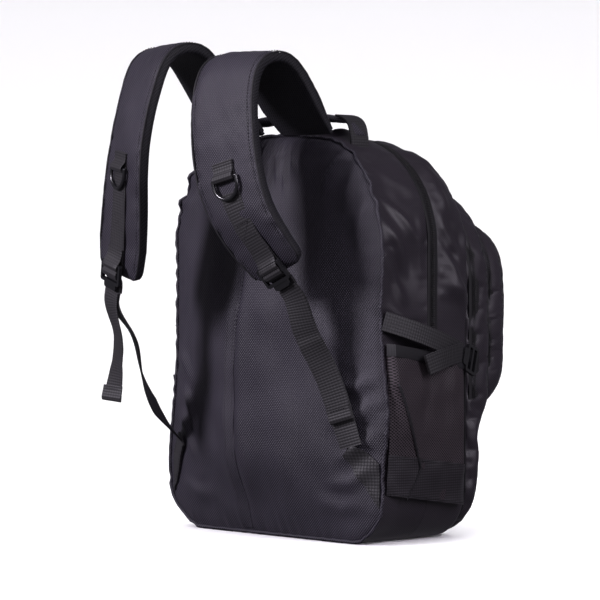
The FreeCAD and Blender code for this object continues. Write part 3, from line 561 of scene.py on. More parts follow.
def stitches(name, line, out, body, pitch=3.4, length=2.3, width=0.55, rise=0.35, material="thread"):
    """A row of sewn stitches along points, each a small rounded bead of thread. out is a normal per point."""
    line, out = np.asarray(line, float), np.asarray(out, float)
    steps = arc_of(line)
    starts = np.arange(pitch / 2, steps[-1] - length, pitch)
    points, faces = [], []
    for s in starts:
        spots = []
        for t in (s, s + length * 0.5, s + length):
            spots.append((np.array([np.interp(t, steps, line[:, i]) for i in range(3)]),
                          np.array([np.interp(t, steps, out[:, i]) for i in range(3)])))
        way = spots[2][0] - spots[0][0]
        way /= np.linalg.norm(way)
        base = len(points)
        for (spot, up), size, high in zip(spots, (0.5, 1.0, 0.5), (-0.2, 1.0, -0.2)):
            up = up / np.linalg.norm(up)
            side = np.cross(way, up) * width / 2 * size
            points += [spot - side - up * 0.3, spot - side * 0.8 + up * rise * high,
                       spot + side * 0.8 + up * rise * high, spot + side - up * 0.3]
        faces += bead_faces(base, 3)
    piece = make(name, points, faces, material, crisp=0)
    orient(piece)
    if body:
        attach(piece, body)
    return piece


def cord_round(name, line, radius, material, closed=False, seed=3, crinkle=0.0, sides=8):
    """Piping: a thin round tube along points."""
    line = np.asarray(line, float)
    if closed:
        way = np.roll(line, -1, 0) - np.roll(line, 1, 0)
    else:
        way = np.gradient(line, axis=0)
    way /= np.linalg.norm(way, axis=1, keepdims=True)
    first = np.array([0, 1.0, 0]) if abs(way[0][1]) < 0.9 else np.array([1.0, 0, 0])
    up = first - way * (way @ first)[:, None]
    up /= np.linalg.norm(up, axis=1, keepdims=True)
    side = np.cross(way, up)
    angle = np.linspace(0, 2 * np.pi, sides, endpoint=False)
    size = radius * (1 + crinkle * lumps(line, 9, seed))
    rings = line[:, None] + (up[:, None] * np.cos(angle)[None, :, None]
                             + side[:, None] * np.sin(angle)[None, :, None]) * size[:, None, None]
    steps = arc_of(line)
    uv = np.stack([np.repeat((angle * radius)[None], len(line), 0), np.repeat(steps[:, None], sides, 1)], -1)
    if not closed:
        return rings_piece(name, rings, material, uvs=uv, crisp=0)
    count = len(line)
    faces = grid_faces(count, sides, True)
    for j in range(sides):
        k = (j + 1) % sides
        faces.append(((count - 1) * sides + j, (count - 1) * sides + k, k, j))
    return orient(make(name, rings, faces, material, uvs=uv, crisp=0))


def inflate(piece, pins, pressure=4.0, slack=0.03, frames=20, cap=8.0, stiff=12.0):
    """Blow cloth up between its pinned seams with the Cloth simulation, and keep the result in the mesh."""
    mesh = piece.data
    start = np.empty(len(mesh.vertices) * 3)
    mesh.vertices.foreach_get("co", start)
    start = start.reshape(-1, 3)
    group = piece.vertex_groups.new(name="pins")
    for i, weight in enumerate(pins):
        if weight > 0:
            group.add([i], float(weight), "REPLACE")
    cloth = piece.modifiers.new("cloth", "CLOTH")
    settings = cloth.settings
    settings.quality = 6
    settings.mass = 0.3
    settings.vertex_group_mass = "pins"
    settings.use_pressure = True
    settings.uniform_pressure_force = pressure
    settings.effector_weights.gravity = 0
    settings.shrink_min = -slack
    settings.tension_stiffness = settings.compression_stiffness = stiff
    settings.shear_stiffness = stiff * 0.4
    settings.bending_stiffness = 0.3
    cloth.collision_settings.use_collision = False
    cloth.point_cache.frame_end = frames + 2
    scene = bpy.context.scene
    for i in range(1, frames + 1):
        scene.frame_set(i)
    graph = bpy.context.evaluated_depsgraph_get()
    after = piece.evaluated_get(graph).to_mesh()
    ended = np.empty(len(mesh.vertices) * 3)
    after.vertices.foreach_get("co", ended)
    ended = ended.reshape(-1, 3)
    piece.evaluated_get(graph).to_mesh_clear()
    piece.modifiers.clear()
    scene.frame_set(1)
    move = ended - start
    far = np.linalg.norm(move, axis=1, keepdims=True)
    limit = cap * MM
    move *= np.where(far > limit, limit / np.maximum(far, 1e-9), 1)
    mesh.vertices.foreach_set("co", (start + move).ravel())
    mesh.update()


# ---------------------------------------------------------------- the bag's outline

COUNTS = (36, 20, 84, 48, 16)  # steps: half the foot, foot corner, side, crown corner, half the top


def tombstone(half, low, high, crown, foot):
    """A closed outline in X and Z from the foot's middle by the right side, as points and normals."""
    runs = []
    span = half - foot
    runs.append([(span * i / COUNTS[0], low) for i in range(COUNTS[0])])
    runs.append([(span + foot * math.sin(a), low + foot - foot * math.cos(a))
                 for a in (math.pi / 2 * i / COUNTS[1] for i in range(COUNTS[1]))])
    runs.append([(half, low + foot + (high - crown - low - foot) * i / COUNTS[2]) for i in range(COUNTS[2])])
    runs.append([(half - crown + crown * math.cos(a), high - crown + crown * math.sin(a))
                 for a in (math.pi / 2 * i / COUNTS[3] for i in range(COUNTS[3]))])
    runs.append([((half - crown) * (1 - i / COUNTS[4]), high) for i in range(COUNTS[4])])
    right = [p for run in runs for p in run] + [(0, high)]
    left = [(-x, z) for x, z in right[1:-1][::-1]]
    points = np.array(right + left)
    way = np.roll(points, -1, 0) - np.roll(points, 1, 0)
    way /= np.linalg.norm(way, axis=1, keepdims=True)
    return points, np.stack([way[:, 1], -way[:, 0]], 1)


AROUND = 2 * sum(COUNTS)
BODY_HALF, BODY_HIGH, CROWN, FOOT = 157.0, 408.0, 106.0, 48.0
POCKET_END = 113  # how far forward the side pockets reach


def belly(x, y, z):
    """How far the full lower sides stand out behind: more on the left, where the load has sunk."""
    left = 13 * np.exp(-((z - 72) / 66) ** 2) * ease(z, 0, 34)
    right = 7 * np.exp(-((z - 118) / 62) ** 2) * ease(z, 0, 34)
    return np.where(x < 0, left, right) * ease(np.abs(x), 90, 150) * (1 - ease(y, 8, 58))


def crumple(points):
    """Unevenness of the back seam: outwards and in depth, most in the crown's corners."""
    x, z = np.abs(points[:, 0]), points[:, 1]
    arc = arc_of(points)
    corner = np.exp(-(((x - 128) / 42) ** 2 + ((z - 365) / 42) ** 2))
    low = ease(z, 4, 30)
    outward = (0.12 + 0.7 * corner) * gathers(arc, 15, 14, 40) + 1.3 * gathers(arc, 16, 70, 170)
    inward = (0.5 + 2.0 * corner) * gathers(arc, 17, 14, 40)
    return outward * low, inward * low


def body_ring(y, off=0.0):
    """The main compartment's outline at a depth, moved out by an offset (a number or one per point)."""
    share = y / 128
    half = BODY_HALF - 5 * share
    high = BODY_HIGH - 18 * max(0.0, (y - 40) / 88) ** 1.6
    points, out = tombstone(half, 0.0, high, CROWN, FOOT)
    outward, inward = crumple(points)
    points = points + out * (off + outward * (1 - ease(y, 2, 34)))[:, None]
    points[:, 0] += np.sign(points[:, 0]) * belly(points[:, 0], y, points[:, 1])
    return np.stack([points[:, 0], y + inward * (1 - ease(y, 0, 26)), points[:, 1]], 1), \
        np.stack([out[:, 0], np.zeros(len(points)), out[:, 1]], 1)


def disc(outline, rows):
    """A grid over the inside of a ring: rows of points from side to side, from the foot to the top."""
    half = AROUND // 2
    right, left = outline[:half + 1], np.concatenate([outline[:1], outline[half:][::-1]])
    steps = np.linspace(0, half, rows)
    share = np.linspace(0, 1, 2 * rows // 3)
    grid = np.empty((rows, len(share), 3))
    for i, s in enumerate(steps):
        k = min(int(s), half - 1)
        f = s - k
        a = left[k] * (1 - f) + left[k + 1] * f
        b = right[k] * (1 - f) + right[k + 1] * f
        grid[i] = a + (b - a) * share[:, None]
    return grid


# ---------------------------------------------------------------- back panel

def back_depth(x, z):
    """How far the padded back stands out behind the seam plane: a full lower belly, flatter at the top."""
    wide = np.clip(1 - (x / 157) ** 2, 0, 1)
    high = ease(z, -10, 95) * (1 - 0.72 * ease(z, 225, 412))
    return 5 + 30 * wide * high


PUCKERS = [[(x, 0, 405), (x + lean, 0, 405 - drop)] for x, lean, drop in (
    (-22, -5, 40), (-12, -4, 56), (-1, -2, 46), (9, 1, 62), (19, 2, 44), (29, 5, 58), (39, 7, 36))]
BACK_FOLDS = [
    ([(121, 0, 399), (104, 0, 380), (84, 0, 350)], 7, 5.0),
    ([(134, 0, 386), (120, 0, 352), (116, 0, 330)], 9, 2.6),
    ([(148, 0, 352), (136, 0, 318), (133, 0, 290)], 9, 2.2),
    ([(-134, 0, 152), (-116, 0, 130), (-98, 0, 104)], 9, 4.5),
    ([(-142, 0, 120), (-122, 0, 104), (-104, 0, 74)], 10, 3.5),
    ([(-148, 0, 188), (-130, 0, 176), (-112, 0, 150)], 12, 2.5),
    ([(155, 0, 168), (134, 0, 156), (108, 0, 160)], 9, 3.0),
    ([(156, 0, 142), (132, 0, 126), (106, 0, 120)], 10, 3.4),
    ([(155, 0, 112), (136, 0, 94), (112, 0, 84)], 9, 3.0),
    ([(150, 0, 76), (128, 0, 62), (98, 0, 58)], 9, 2.8),
    ([(140, 0, 40), (112, 0, 36), (80, 0, 42)], 10, 2.4),
    ([(-136, 0, 50), (-106, 0, 38), (-76, 0, 40)], 10, 2.4),
    ([(70, 0, 250), (96, 0, 205), (118, 0, 190)], 16, 2.0),
    ([(-40, 0, 240), (-60, 0, 180), (-54, 0, 120)], 24, 1.8),
    ([(40, 0, 300), (60, 0, 262), (66, 0, 220)], 20, 1.6),
    ([(-60, 0, 402), (-72, 0, 372), (-70, 0, 345)], 7, 2.4),
    ([(-96, 0, 398), (-88, 0, 366), (-92, 0, 340)], 8, 2.6),
]
SEAM_LINE = ((5, -33), (60, -30), (130, -29), (200, -26), (240, -22), (298, -14), (405, -10))


def seam_x(z):
    heights, places = zip(*SEAM_LINE)
    return np.interp(z, heights, places)


def back_panel():
    ring, _ = body_ring(0.0, -0.6)
    grid = disc(ring, 121)
    edge_y = grid[..., 1].copy()
    flat = grid * (1, 0, 1)
    x, z = grid[..., 0], grid[..., 2]
    edge, along = reach(flat, np.concatenate([ring, ring[:1]]) * (1, 0, 1))
    arc = along * arc_of(np.concatenate([ring, ring[:1]]))[-1]
    depth = back_depth(x, z) * (1 - np.exp(-edge / 9.0)) ** 0.7
    depth += 1.5 * lumps(flat, 90, 11) * ease(edge, 4, 40) + 0.5 * lumps(flat, 34, 12) * ease(edge, 4, 30)
    depth += gathers(arc, 5) * 1.15 * np.exp(-edge / 14.0) * ease(edge, 0.5, 5)
    for line, width, height in BACK_FOLDS:
        depth += fold(flat, line, width * 0.85, height * 1.5)
    for line in PUCKERS:
        depth += fold(flat, line, 3.8, 4.2)
    seam = np.abs(x - seam_x(z))
    inside = ease(z, 2, 20) * (1 - ease(z, 385, 404))
    depth -= 2.6 * np.exp(-(seam / 4.0) ** 2) * inside
    depth += 1.4 * np.exp(-((seam - 11) / 8.0) ** 2) * inside
    grid[..., 1] = edge_y * np.exp(-edge / 10.0) - depth
    piece = sheet_piece("back_skin", grid, 2.0, "back_twill", inner="lining", outward=(0, 200, 200))
    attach(piece, "pack")
    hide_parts("back_panel")
    up = np.linspace(6, 400, 200)
    rows = []
    for across in (0.5, 0.2, -2.0, -5.5, -9.0, -11.2, -11.5):
        spots = np.stack([seam_x(up) + across, np.zeros(200), up], 1)
        spots[:, 1] = surface_y(piece, spots) + (0.4 if across in (0.5, -11.5) else -1.0)
        rows.append(spots)
    rows = np.array(rows)
    for _ in range(3):
        rows[:, 1:-1, 1] = (rows[:, :-2, 1] + rows[:, 1:-1, 1] * 2 + rows[:, 2:, 1]) / 4
    band = sheet_piece("back_seam_band", rows, 1.0, "back_twill", outward=(0, 200, 200))
    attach(band, "pack")
    for k, row in enumerate((2, 4)):
        stitches(f"back_seam_thread_{k}", rows[row] + (0, -0.05, 0), np.tile([0, -1.0, 0], (200, 1)), "pack")
    line = rows[0] + (0.6, -0.8, 0)
    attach(cord_round("back_seam_ridge", line, 0.9, "back_twill", crinkle=0.1), "pack")
    return piece


def surface_y(piece, spots):
    """The outermost (lowest) Y of a piece's mesh under each spot, in millimetres."""
    graph = bpy.context.evaluated_depsgraph_get()
    tree = BVHTree.FromObject(piece, graph)
    found = []
    for x, _, z in spots:
        hit = tree.ray_cast(Vector((x * MM, -0.5, z * MM)), Vector((0, 1, 0)))
        found.append(hit[0].y / MM if hit[0] else 0.0)
    return np.array(found)


# ---------------------------------------------------------------- gussets, zips and linings

def loop_grid(ys, off):
    """Rows of the body outline at each depth. off gives an outward offset from (points, arc, y)."""
    rows = []
    for y in ys:
        ring, out = body_ring(y)
        rows.append(ring + out * off(ring, arc_of(ring), y)[:, None])
    return np.array(rows)


SIDE_FOLDS = [
    ([(150, 4, 352), (154, 26, 330), (157, 50, 300)], 8, 3.4),
    ([(157, 3, 322), (157, 22, 296), (157, 40, 262)], 9, 3.0),
    ([(157, 4, 285), (157, 20, 262), (157, 34, 236)], 8, 2.2),
    ([(126, 4, 388), (138, 24, 372), (146, 52, 356)], 9, 3.0),
    ([(100, 6, 405), (108, 30, 402), (112, 60, 398)], 10, 2.4),
    ([(157, 60, 330), (157, 52, 300), (157, 56, 262)], 9, 2.2),
    ([(60, 4, 410), (66, 34, 412), (60, 62, 410)], 12, 2.0),
    ([(157, 8, 236), (157, 30, 226), (157, 58, 224)], 9, 2.0),
]


def mirrored(folds):
    return folds + [([(-x, y, z) for x, y, z in line], w * 1.1, h * 0.9) for line, w, h in folds]


def rear_gusset():
    folds = mirrored(SIDE_FOLDS)

    def off(points, arc, y):
        z = points[:, 2]
        low = 1 - ease(z, 200, 236)
        floor = 1 - ease(z, 1, 12)
        between = math.sin(math.pi * min(max(y / 65, 0), 1))
        swell = (4.5 * ease(z, 385, 408) - 1.6 * (1 - ease(z, 340, 400))) * between
        amount = swell * (1 - floor)
        amount = amount + (1.7 * lumps(points, 62, 21) + 0.7 * lumps(points, 27, 23)) * between * (1 - low)
        edge = min(y, 65 - y)
        amount = amount + gathers(arc, 22) * 0.9 * math.exp(-edge / 9) * ease(edge, 0.3, 4) * (1 - floor)
        for line, width, height in folds:
            amount = amount + fold(points, line, width * 0.8, height * 1.5) * (1 - low * 0.8)
        amount = np.where(low > 0.5, np.minimum(amount, 0.4), amount)
        return np.where(floor > 0.5, np.minimum(np.maximum(amount, -0.2), 0), amount)

    grid = loop_grid(np.linspace(0, 65, 23), off)
    piece = sheet_piece("rear_gusset", grid, 1.6, "shell_fabric", wrap=True, inner="lining",
                        outward=(0, 32, 200))
    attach(piece, "pack")
    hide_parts("top_panel", "right_side_panel", "left_side_panel", "base_panel",
                "right_lower_gusset", "left_lower_gusset")
    ring, out = body_ring(0.0, 0.2)
    ring[:, 2] = np.maximum(ring[:, 2], 1.7)
    seam = ring + out * (gathers(arc_of(ring), 5) * 0.5)[:, None]
    seam[:, 1] -= 1.2
    seam[:, 2] = np.maximum(seam[:, 2], 1.7)
    piping = cord_round("corner_piping", seam, 1.7, "back_twill", closed=True, crinkle=0.10)
    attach(piping, "pack")


GUSSET_FOLDS = [
    ([(157, 84, 372), (157, 100, 345), (155, 116, 322)], 8, 3.0),
    ([(157, 82, 330), (157, 98, 300), (155, 118, 284)], 9, 3.6),
    ([(157, 90, 292), (157, 106, 262), (155, 116, 240)], 8, 3.2),
    ([(150, 90, 352), (150, 104, 352), (148, 120, 344)], 9, 2.6),
    ([(90, 84, 400), (96, 100, 396), (92, 120, 388)], 11, 2.4),
    ([(20, 84, 400), (10, 104, 396), (14, 122, 388)], 12, 2.0),
]


def bend(piece):
    """Bake a piece of the bag's front into its mesh as it stands; it is joined to no body."""
    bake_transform(piece)


def front_gusset():
    folds = mirrored(GUSSET_FOLDS)
    rows = []
    for s in np.linspace(0, 1, 26):
        ring, out = body_ring(79.0)
        z = ring[:, 2]
        begin = 65.3 + 14.2 * ease(z, 190, 202)
        y = begin + (127.0 - begin) * s
        deep, deep_out = body_ring(125.0)
        near, _ = body_ring(72.0)
        share = ((y - 72) / 53)[:, None]
        base = near + (deep - near) * share
        base[:, 1] = y
        high = ease(z, 214, 262)
        floor = 1 - ease(z, 1, 12)
        between = np.sin(np.pi * np.clip(s, 0, 1)) ** 0.8
        puff = (5.5 * high) * between - 9.0 * ease(s, 0.86, 1.0) * (1 - floor * 0.6)
        puff = puff + (1.6 * lumps(base, 46, 31) + 0.7 * lumps(base, 22, 32)) * between * high
        arc = arc_of(ring)
        edge = min(s, 1 - s) * 46
        puff = puff + gathers(arc, 33) * 0.9 * math.exp(-edge / 8) * ease(edge, 0.3, 4) * (1 - floor) * high
        for line, width, height in folds:
            puff = puff + fold(base, line, width * 0.8, height * 1.4)
        puff = np.where(z < 214, np.minimum(puff, 0.2), puff)
        base = base + out * puff[:, None]
        base[:, 2] = np.maximum(base[:, 2], 0.0)
        rows.append(base)
    piece = sheet_piece("front_gusset_skin", np.array(rows), 1.6, "shell_fabric", wrap=True, inner="lining",
                        outward=(0, 100, 200))
    bend(piece)
    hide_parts("front_gusset", "front_fold")
    ring, out = body_ring(125.0, -5)
    wall = disc(ring * (1, 0, 1) + (0, 125.6, 0), 45)
    divider = sheet_piece("divider_skin", wall, 1.4, "lining", "shell_fabric", outward=(0, 300, 200))
    bend(divider)
    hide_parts("upper_divider", "lower_divider")


def open_path(ring, out, low):
    """The part of a closed outline above a height, from the right foot over the top to the left foot."""
    keep = ring[:, 2] >= low
    return ring[keep], out[keep]


COIL_TURN = (-2.0, 0.0, 0.42), (-1.2, 0.7, 0.5), (0.6, 0.75, 0.5), (1.15, 0.15, 0.4)  # across, up, half width


def zip_run(name, ring_at, ys, low, proud):
    """A zip's two tapes with their coils, over the top and down both sides."""
    (y0, y1), (y2, y3) = ys
    pieces = []
    for label, (a, b), meets in (("rear", (y0, y1), y1), ("front", (y2, y3), y2)):
        rows = []
        for s in np.linspace(0, 1, 7):
            y = a + (b - a) * s
            ring, out = ring_at(y)
            ring, out = open_path(ring, out, low)
            ridge = proud + 0.5 * math.sin(math.pi * s) + 0.25 * lumps(ring, 40, 41)
            rows.append(ring + out * ridge[:, None])
        grid = np.array(rows)
        steps = np.tile(arc_of(grid[3])[None], (7, 1))
        uvs = np.stack([grid[..., 1], steps], -1)
        tape = sheet_piece(f"{name}_{label}_tape", grid, 1.0, "zip_tape", uvs=uvs,
                           outward=(0, (a + b) / 2, 180))
        pieces.append(tape)
        # the coil: one bead for each turn, leaning towards the other half
        ring, out = ring_at(meets)
        ring, out = open_path(ring, out, low)
        base_line = ring + out * (proud + 0.9 + 0.25 * lumps(ring, 40, 41))[:, None]
        steps = arc_of(base_line)
        towards = 1.0 if meets == y1 else -1.0
        points, faces = [], []
        for s in np.arange(1.0 if towards > 0 else 1.9, steps[-1] - 1, 1.8):
            spot = np.array([np.interp(s, steps, base_line[:, i]) for i in range(3)])
            up = np.array([np.interp(s, steps, out[:, i]) for i in range(3)])
            up /= np.linalg.norm(up)
            side = np.array([0, towards, 0])
            way = np.cross(up, side)
            start = len(points)
            for across, tall, wide in COIL_TURN:
                centre = spot + side * across
                for u, w in ((-0.5, -1), (tall, -0.7), (tall, 0.7), (-0.5, 1)):
                    points.append(centre + up * u + way * w * wide)
            faces += bead_faces(start, 4)
        coil = orient(make(f"{name}_{label}_coil", points, faces, "coil", crisp=0))
        pieces.append(coil)
    return pieces


def main_zip():
    tapes = zip_run("main_zip", body_ring, ((65.2, 71.3), (72.7, 79.2)), 200.0, 0.4)
    for i, piece in enumerate(tapes):
        if i < 2:
            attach(piece, "pack")
        else:
            bend(piece)
    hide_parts("main_zip_rear_half")
    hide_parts("main_zip_front_half")


# ---------------------------------------------------------------- front compartment and pocket

def lobe_ring(half, low, high, crown, foot):
    def at(y, off=0.0):
        points, out = tombstone(half, low, high, crown, foot)
        points = points + out * (np.ones(len(points)) * off)[:, None]
        n = len(points)
        return np.stack([points[:, 0], np.full(n, float(y)), points[:, 1]], 1), \
            np.stack([out[:, 0], np.zeros(n), out[:, 1]], 1)
    return at


FRONT_RING = lobe_ring(146.0, 6.0, 362.0, 104.0, 50.0)
POCKET_RING = lobe_ring(131.0, 128.0, 322.0, 58.0, 40.0)


def stuffed(name, ring_at, y0, depth_at, round_off, crown, seed, material, lumpy=1.5, folds=(), rings=26):
    """A filled form on an outline: a flat back, walls that swell, a rounded front seam and a crowned face."""
    ring, out = ring_at(0.0)
    centre = np.array([0, 0, (ring[:, 2].max() + ring[:, 2].min()) / 2])
    deep = depth_at(ring[:, 2])
    arc = arc_of(ring)
    rows = []
    walls = 12
    for i in range(walls + 1):
        s = i / walls
        y = y0 + (deep - y0) * s
        inset = np.zeros(len(ring))
        swell = 2.2 * math.sin(math.pi * s)
        front = deep - y
        curve = np.clip(1 - front / round_off, 0, 1)
        inset = -round_off * (1 - np.sqrt(np.clip(1 - curve ** 2, 0, 1))) * 0.8
        edge = np.minimum(y - y0, 30)
        pleat = gathers(arc, seed, 18, 50) * 0.6 * np.exp(-edge / 8) * ease(edge, 0.2, 3)
        row = ring + out * (inset + swell + pleat + 0.6 * lumps(ring + (0, 20 * s, 0), 40, seed + 1))[:, None]
        row[:, 1] = y
        rows.append(row)
    last = rows[-1]
    for i in range(1, rings + 1):
        s = i / rings
        r = 1 - s ** 0.9 * 0.985
        row = centre + (last - centre) * r
        row[:, 0], row[:, 2] = last[:, 0] * r, centre[2] + (last[:, 2] - centre[2]) * r
        z = row[:, 2]
        face = depth_at(z) + crown * (1 - r ** 2.2)
        gap = (1 - r) * 130
        ripples = gathers(arc, seed + 2, 20, 60) * 0.5 * np.exp(-gap / 11) * ease(gap, 0.5, 5)
        row[:, 1] = face + ripples + lumpy * lumps(row * (1, 0, 1), 60, seed + 3) * ease(gap, 3, 25)
        rows.append(row)
    grid = np.array(rows)
    for line, width, height in folds:
        n = normals_of(grid, True)
        if (n * (grid - (0, y0, centre[2]))).sum(-1).mean() < 0:
            n = -n
        grid = grid + n * fold(grid, line, width, height)[..., None]
    count, around = grid.shape[:2]
    points, faces = capped(grid)
    piece = orient(make(name, points, faces, material, crisp=0))
    pinned = np.zeros((count, around))
    pinned[0] = 1
    pinned[walls - 1:walls + 1] = 1
    pins = np.concatenate([pinned.ravel(), [1, 0]])
    return piece, pins, grid, walls


def front_depth(z):
    return 148.5 + 17.5 * ease(z, 96, 150)


def pocket_depth(z):
    return 204.5 - 8 * (1 - ease(z, 128, 190))


def front_lobes():
    folds = [
        ([(146, 140, 330), (148, 150, 300), (146, 158, 270)], 8, 2.2),
        ([(146, 136, 120), (148, 142, 90), (140, 146, 52)], 10, 2.4),
        ([(-146, 140, 330), (-148, 150, 300), (-146, 158, 270)], 8, 2.2),
        ([(100, 150, 120), (60, 150, 90), (20, 150, 80)], 14, 3.0),
        ([(-100, 150, 120), (-70, 150, 80), (-40, 150, 60)], 14, 3.0),
    ]
    piece, pins, grid, walls = stuffed("front_compartment_skin", FRONT_RING, 128.2, front_depth, 13, 2.0, 51,
                                       "shell_fabric", 1.2, folds)
    inflate(piece, pins, pressure=3.0, slack=0.03, frames=14, cap=4.0)
    bend(piece)
    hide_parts("front_compartment_lower", "front_compartment_upper")
    seam = grid[walls - 1].copy()
    piping = cord_round("front_piping", seam, 1.4, "binding", closed=True, crinkle=0.1)
    bend(piping)

    pocket_folds = [
        ([(110, 210, 300), (60, 210, 250), (30, 210, 240)], 16, 2.4),
        ([(-110, 210, 300), (-70, 210, 240), (-30, 210, 230)], 16, 2.4),
        ([(120, 208, 160), (80, 210, 170), (20, 210, 160)], 14, 2.2),
        ([(-120, 208, 160), (-80, 210, 180), (-30, 210, 170)], 14, 2.2),
    ]
    piece, pins, grid, walls = stuffed("front_pocket_skin", POCKET_RING, 167.6, pocket_depth, 15, 6.0, 61,
                                       "shell_fabric", 1.6, pocket_folds)
    inflate(piece, pins, pressure=3.0, slack=0.03, frames=14, cap=4.5)
    bend(piece)
    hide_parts("front_pocket_lower", "front_pocket_upper")
    seam = grid[walls - 1].copy()
    piping = cord_round("pocket_piping", seam, 1.4, "binding", closed=True, crinkle=0.1)
    bend(piping)
    for name, ring_at, ys, nodes in (
            ("front_zip", FRONT_RING, ((131.0, 137.2), (138.8, 145.0)),
             ("front_zip_rear_half", "front_zip_front_half")),
            ("pocket_zip", POCKET_RING, ((169.2, 175.2), (176.8, 183.0)),
             ("pocket_zip_rear_half", "pocket_zip_front_half"))):
        tapes = zip_run(name, ring_at, ys, 140.0 if name == "front_zip" else 172.0, 2.2)
        for tape in tapes:
            bend(tape)
        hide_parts(nodes[0])
        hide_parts(nodes[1])


# ---------------------------------------------------------------- side pockets and compression straps

def hem_height(y):
    return 199 - 17 * y / POCKET_END


def pleat_y(z):
    return np.where(z > 76, 4.6 + (164 - z) * 0.386, 38.6 - (76 - z) * 0.38)


def pocket_out(y, z, full=12.0):
    """How far the side pocket stands off the side panel."""
    fold_at = pleat_y(z)
    rear = np.clip((y - 3) / np.maximum(fold_at - 3, 2.5), 0, 1)
    front = 1 - ease(y, 98, 113)
    tall = 0.35 + 0.65 * ease(z, 40, 80)
    top = 1 - 0.25 * ease(z, 150, 196)
    return 0.9 + full * np.minimum(rear, 1) * front ** 0.6 * tall * top


def pocket_x(y, z, sign):
    """How far the side pocket's face is from the middle, over the belly of the side."""
    return BODY_HALF + 0.2 + pocket_out(y, z) + belly(sign * BODY_HALF + 0 * y, y, z)


def side_pockets():
    for side, sign in SIDES.items():
        rows, cols = 52, 56
        y = np.linspace(3, 113, cols)[None, :] * np.ones((rows, 1))
        share = np.linspace(0, 1, rows)[:, None]
        foot = 53 - 16 * (y / POCKET_END)
        z = foot + (hem_height(y) - foot) * share
        x = pocket_x(y, z, sign)
        flat = np.stack([x, y, z], -1)
        x = x + 0.7 * lumps(flat, 36, 71) * ease(y, 3, 20) * (1 - ease(y, 96, 110))
        x -= fold(flat, [(170, 60, 192), (170, 52, 150), (170, 40, 110)], 9, 1.6)
        x += fold(flat, [(170, 92, 190), (170, 84, 150), (170, 88, 100)], 9, 1.8)
        grid = np.stack([sign * x, y, z], -1)
        uvs = np.stack([y, z], -1)
        net = sheet_piece(f"{side}_pocket_net", grid, 0.9, "pocket_mesh", uvs=uvs, outward=(0, 50, 100))
        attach(net, "pack")
        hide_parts(f"{side}_pocket_mesh")
        # the bound hem along the top
        ys = np.linspace(2.5, 113.5, 60)
        rows = []
        for s in (0, 0.12, 0.5, 0.88, 1):
            zz = hem_height(ys) - 11 + 12 * s
            lift = 1.0 + (0.5 if 0.1 < s < 0.9 else 0.0)
            xx = pocket_x(ys, zz, sign) + lift
            rows.append(np.stack([sign * xx, ys, zz], -1))
        grid = np.array(rows)
        uvs = np.stack([grid[..., 2] - 180, grid[..., 1]], -1)
        hem = sheet_piece(f"{side}_pocket_binding", grid, 2.4, "binding", uvs=uvs, outward=(0, 50, 180))
        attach(hem, "pack")
        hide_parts(f"{side}_pocket_hem")
        # the cloth band at the foot
        rows = []
        ys = np.linspace(2.6, 112.6, 60)
        for s in np.linspace(0, 1, 16):
            top = 91 - 15 * ys / POCKET_END
            foot = 51 - 16 * ys / POCKET_END
            zz = foot + (top - foot) * s
            uneven = lumps(np.stack([ys * 0, ys, zz], -1), 26, 73)
            xx = pocket_x(ys, zz, sign) + 0.9 + 0.5 * uneven
            rows.append(np.stack([sign * xx, ys, zz], -1))
        cuff = sheet_piece(f"{side}_pocket_cuff", np.array(rows), 1.0, "base_fabric", outward=(0, 50, 60))
        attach(cuff, "pack")
        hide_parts(f"{side}_pocket_band")
        q = np.linspace(5, 110, 50)
        for k, (rise, fall) in enumerate(((89, 15), (53, 16))):
            zz = rise - fall * q / POCKET_END
            spots = np.stack([sign * (pocket_x(q, zz, sign) + 1.9), q, zz], -1)
            stitches(f"{side}_cuff_thread_{k}", spots, np.tile([sign, 0, 0.0], (50, 1)), "pack")
        q = np.linspace(44, 160, 60)
        line = np.stack([sign * (pocket_x(pleat_y(q), q, sign) + 0.7), pleat_y(q), q], -1)
        pleat = cord_round(f"{side}_pocket_pleat", line, 1.1, "binding", crinkle=0.1)
        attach(pleat, "pack")


COMPRESSION = [(1.6, 1, 222), (15.6, 33, 211), (18.4, 60, 202), (16.2, 82, 195), (12.4, 98.2, 189.6)]
COMPRESSION_STUB = [(3.4, 116, 182.5), (0.6, 124, 179.6), (-3.5, 130, 177.5)]
COMPRESSION_TAIL = [(13.4, 98.2, 189.6), (18.9, 82, 188), (22.5, 62, 184), (21.5, 42, 178)]


def compression_straps():
    for side, sign in SIDES.items():
        pieces = []
        for name, path, count in (("compression_webbing", COMPRESSION, 40),
                                  ("compression_tail", COMPRESSION_TAIL, 26)):
            points = [(sign * (157 + out), y, z) for out, y, z in path]
            found = stations(points, [(0, 0.35, 1), (0, 0.35, 1)], count)
            pieces.append(band_piece(f"{side}_{name}", found, 20, 1.6, material="webbing", seed=81))
            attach(pieces[-1], "pack")
        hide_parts(f"{side}_compression_strap")
        place, way, wide, out = stations([(sign * (157 + o), y, z) for o, y, z in COMPRESSION_TAIL],
                                         [(0, 0.35, 1), (0, 0.35, 1)], 26)
        turn = out[-1] * sign
        fold_end = [place[-1] - way[-1] * 12 + turn * 1.9, place[-1] - way[-1] * 4 + turn * 1.9,
                    place[-1] + way[-1] * 0.5 + turn * 1.0]
        found = stations(fold_end, [wide[-1], wide[-1]], 8)
        end = band_piece(f"{side}_tail_fold", found, 20, 1.5, seed=82)
        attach(end, "pack")
        path = [(sign * (157 + o), y, z) for o, y, z in COMPRESSION_STUB]
        stub = band_piece(f"{side}_compression_front", stations(path, [(0, 0.35, 1), (0, 0.35, 1)], 10), 20, 1.5,
                          seed=83)
        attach(stub, "pack")
        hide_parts(f"{side}_compression_loop")


# ---------------------------------------------------------------- shoulder straps

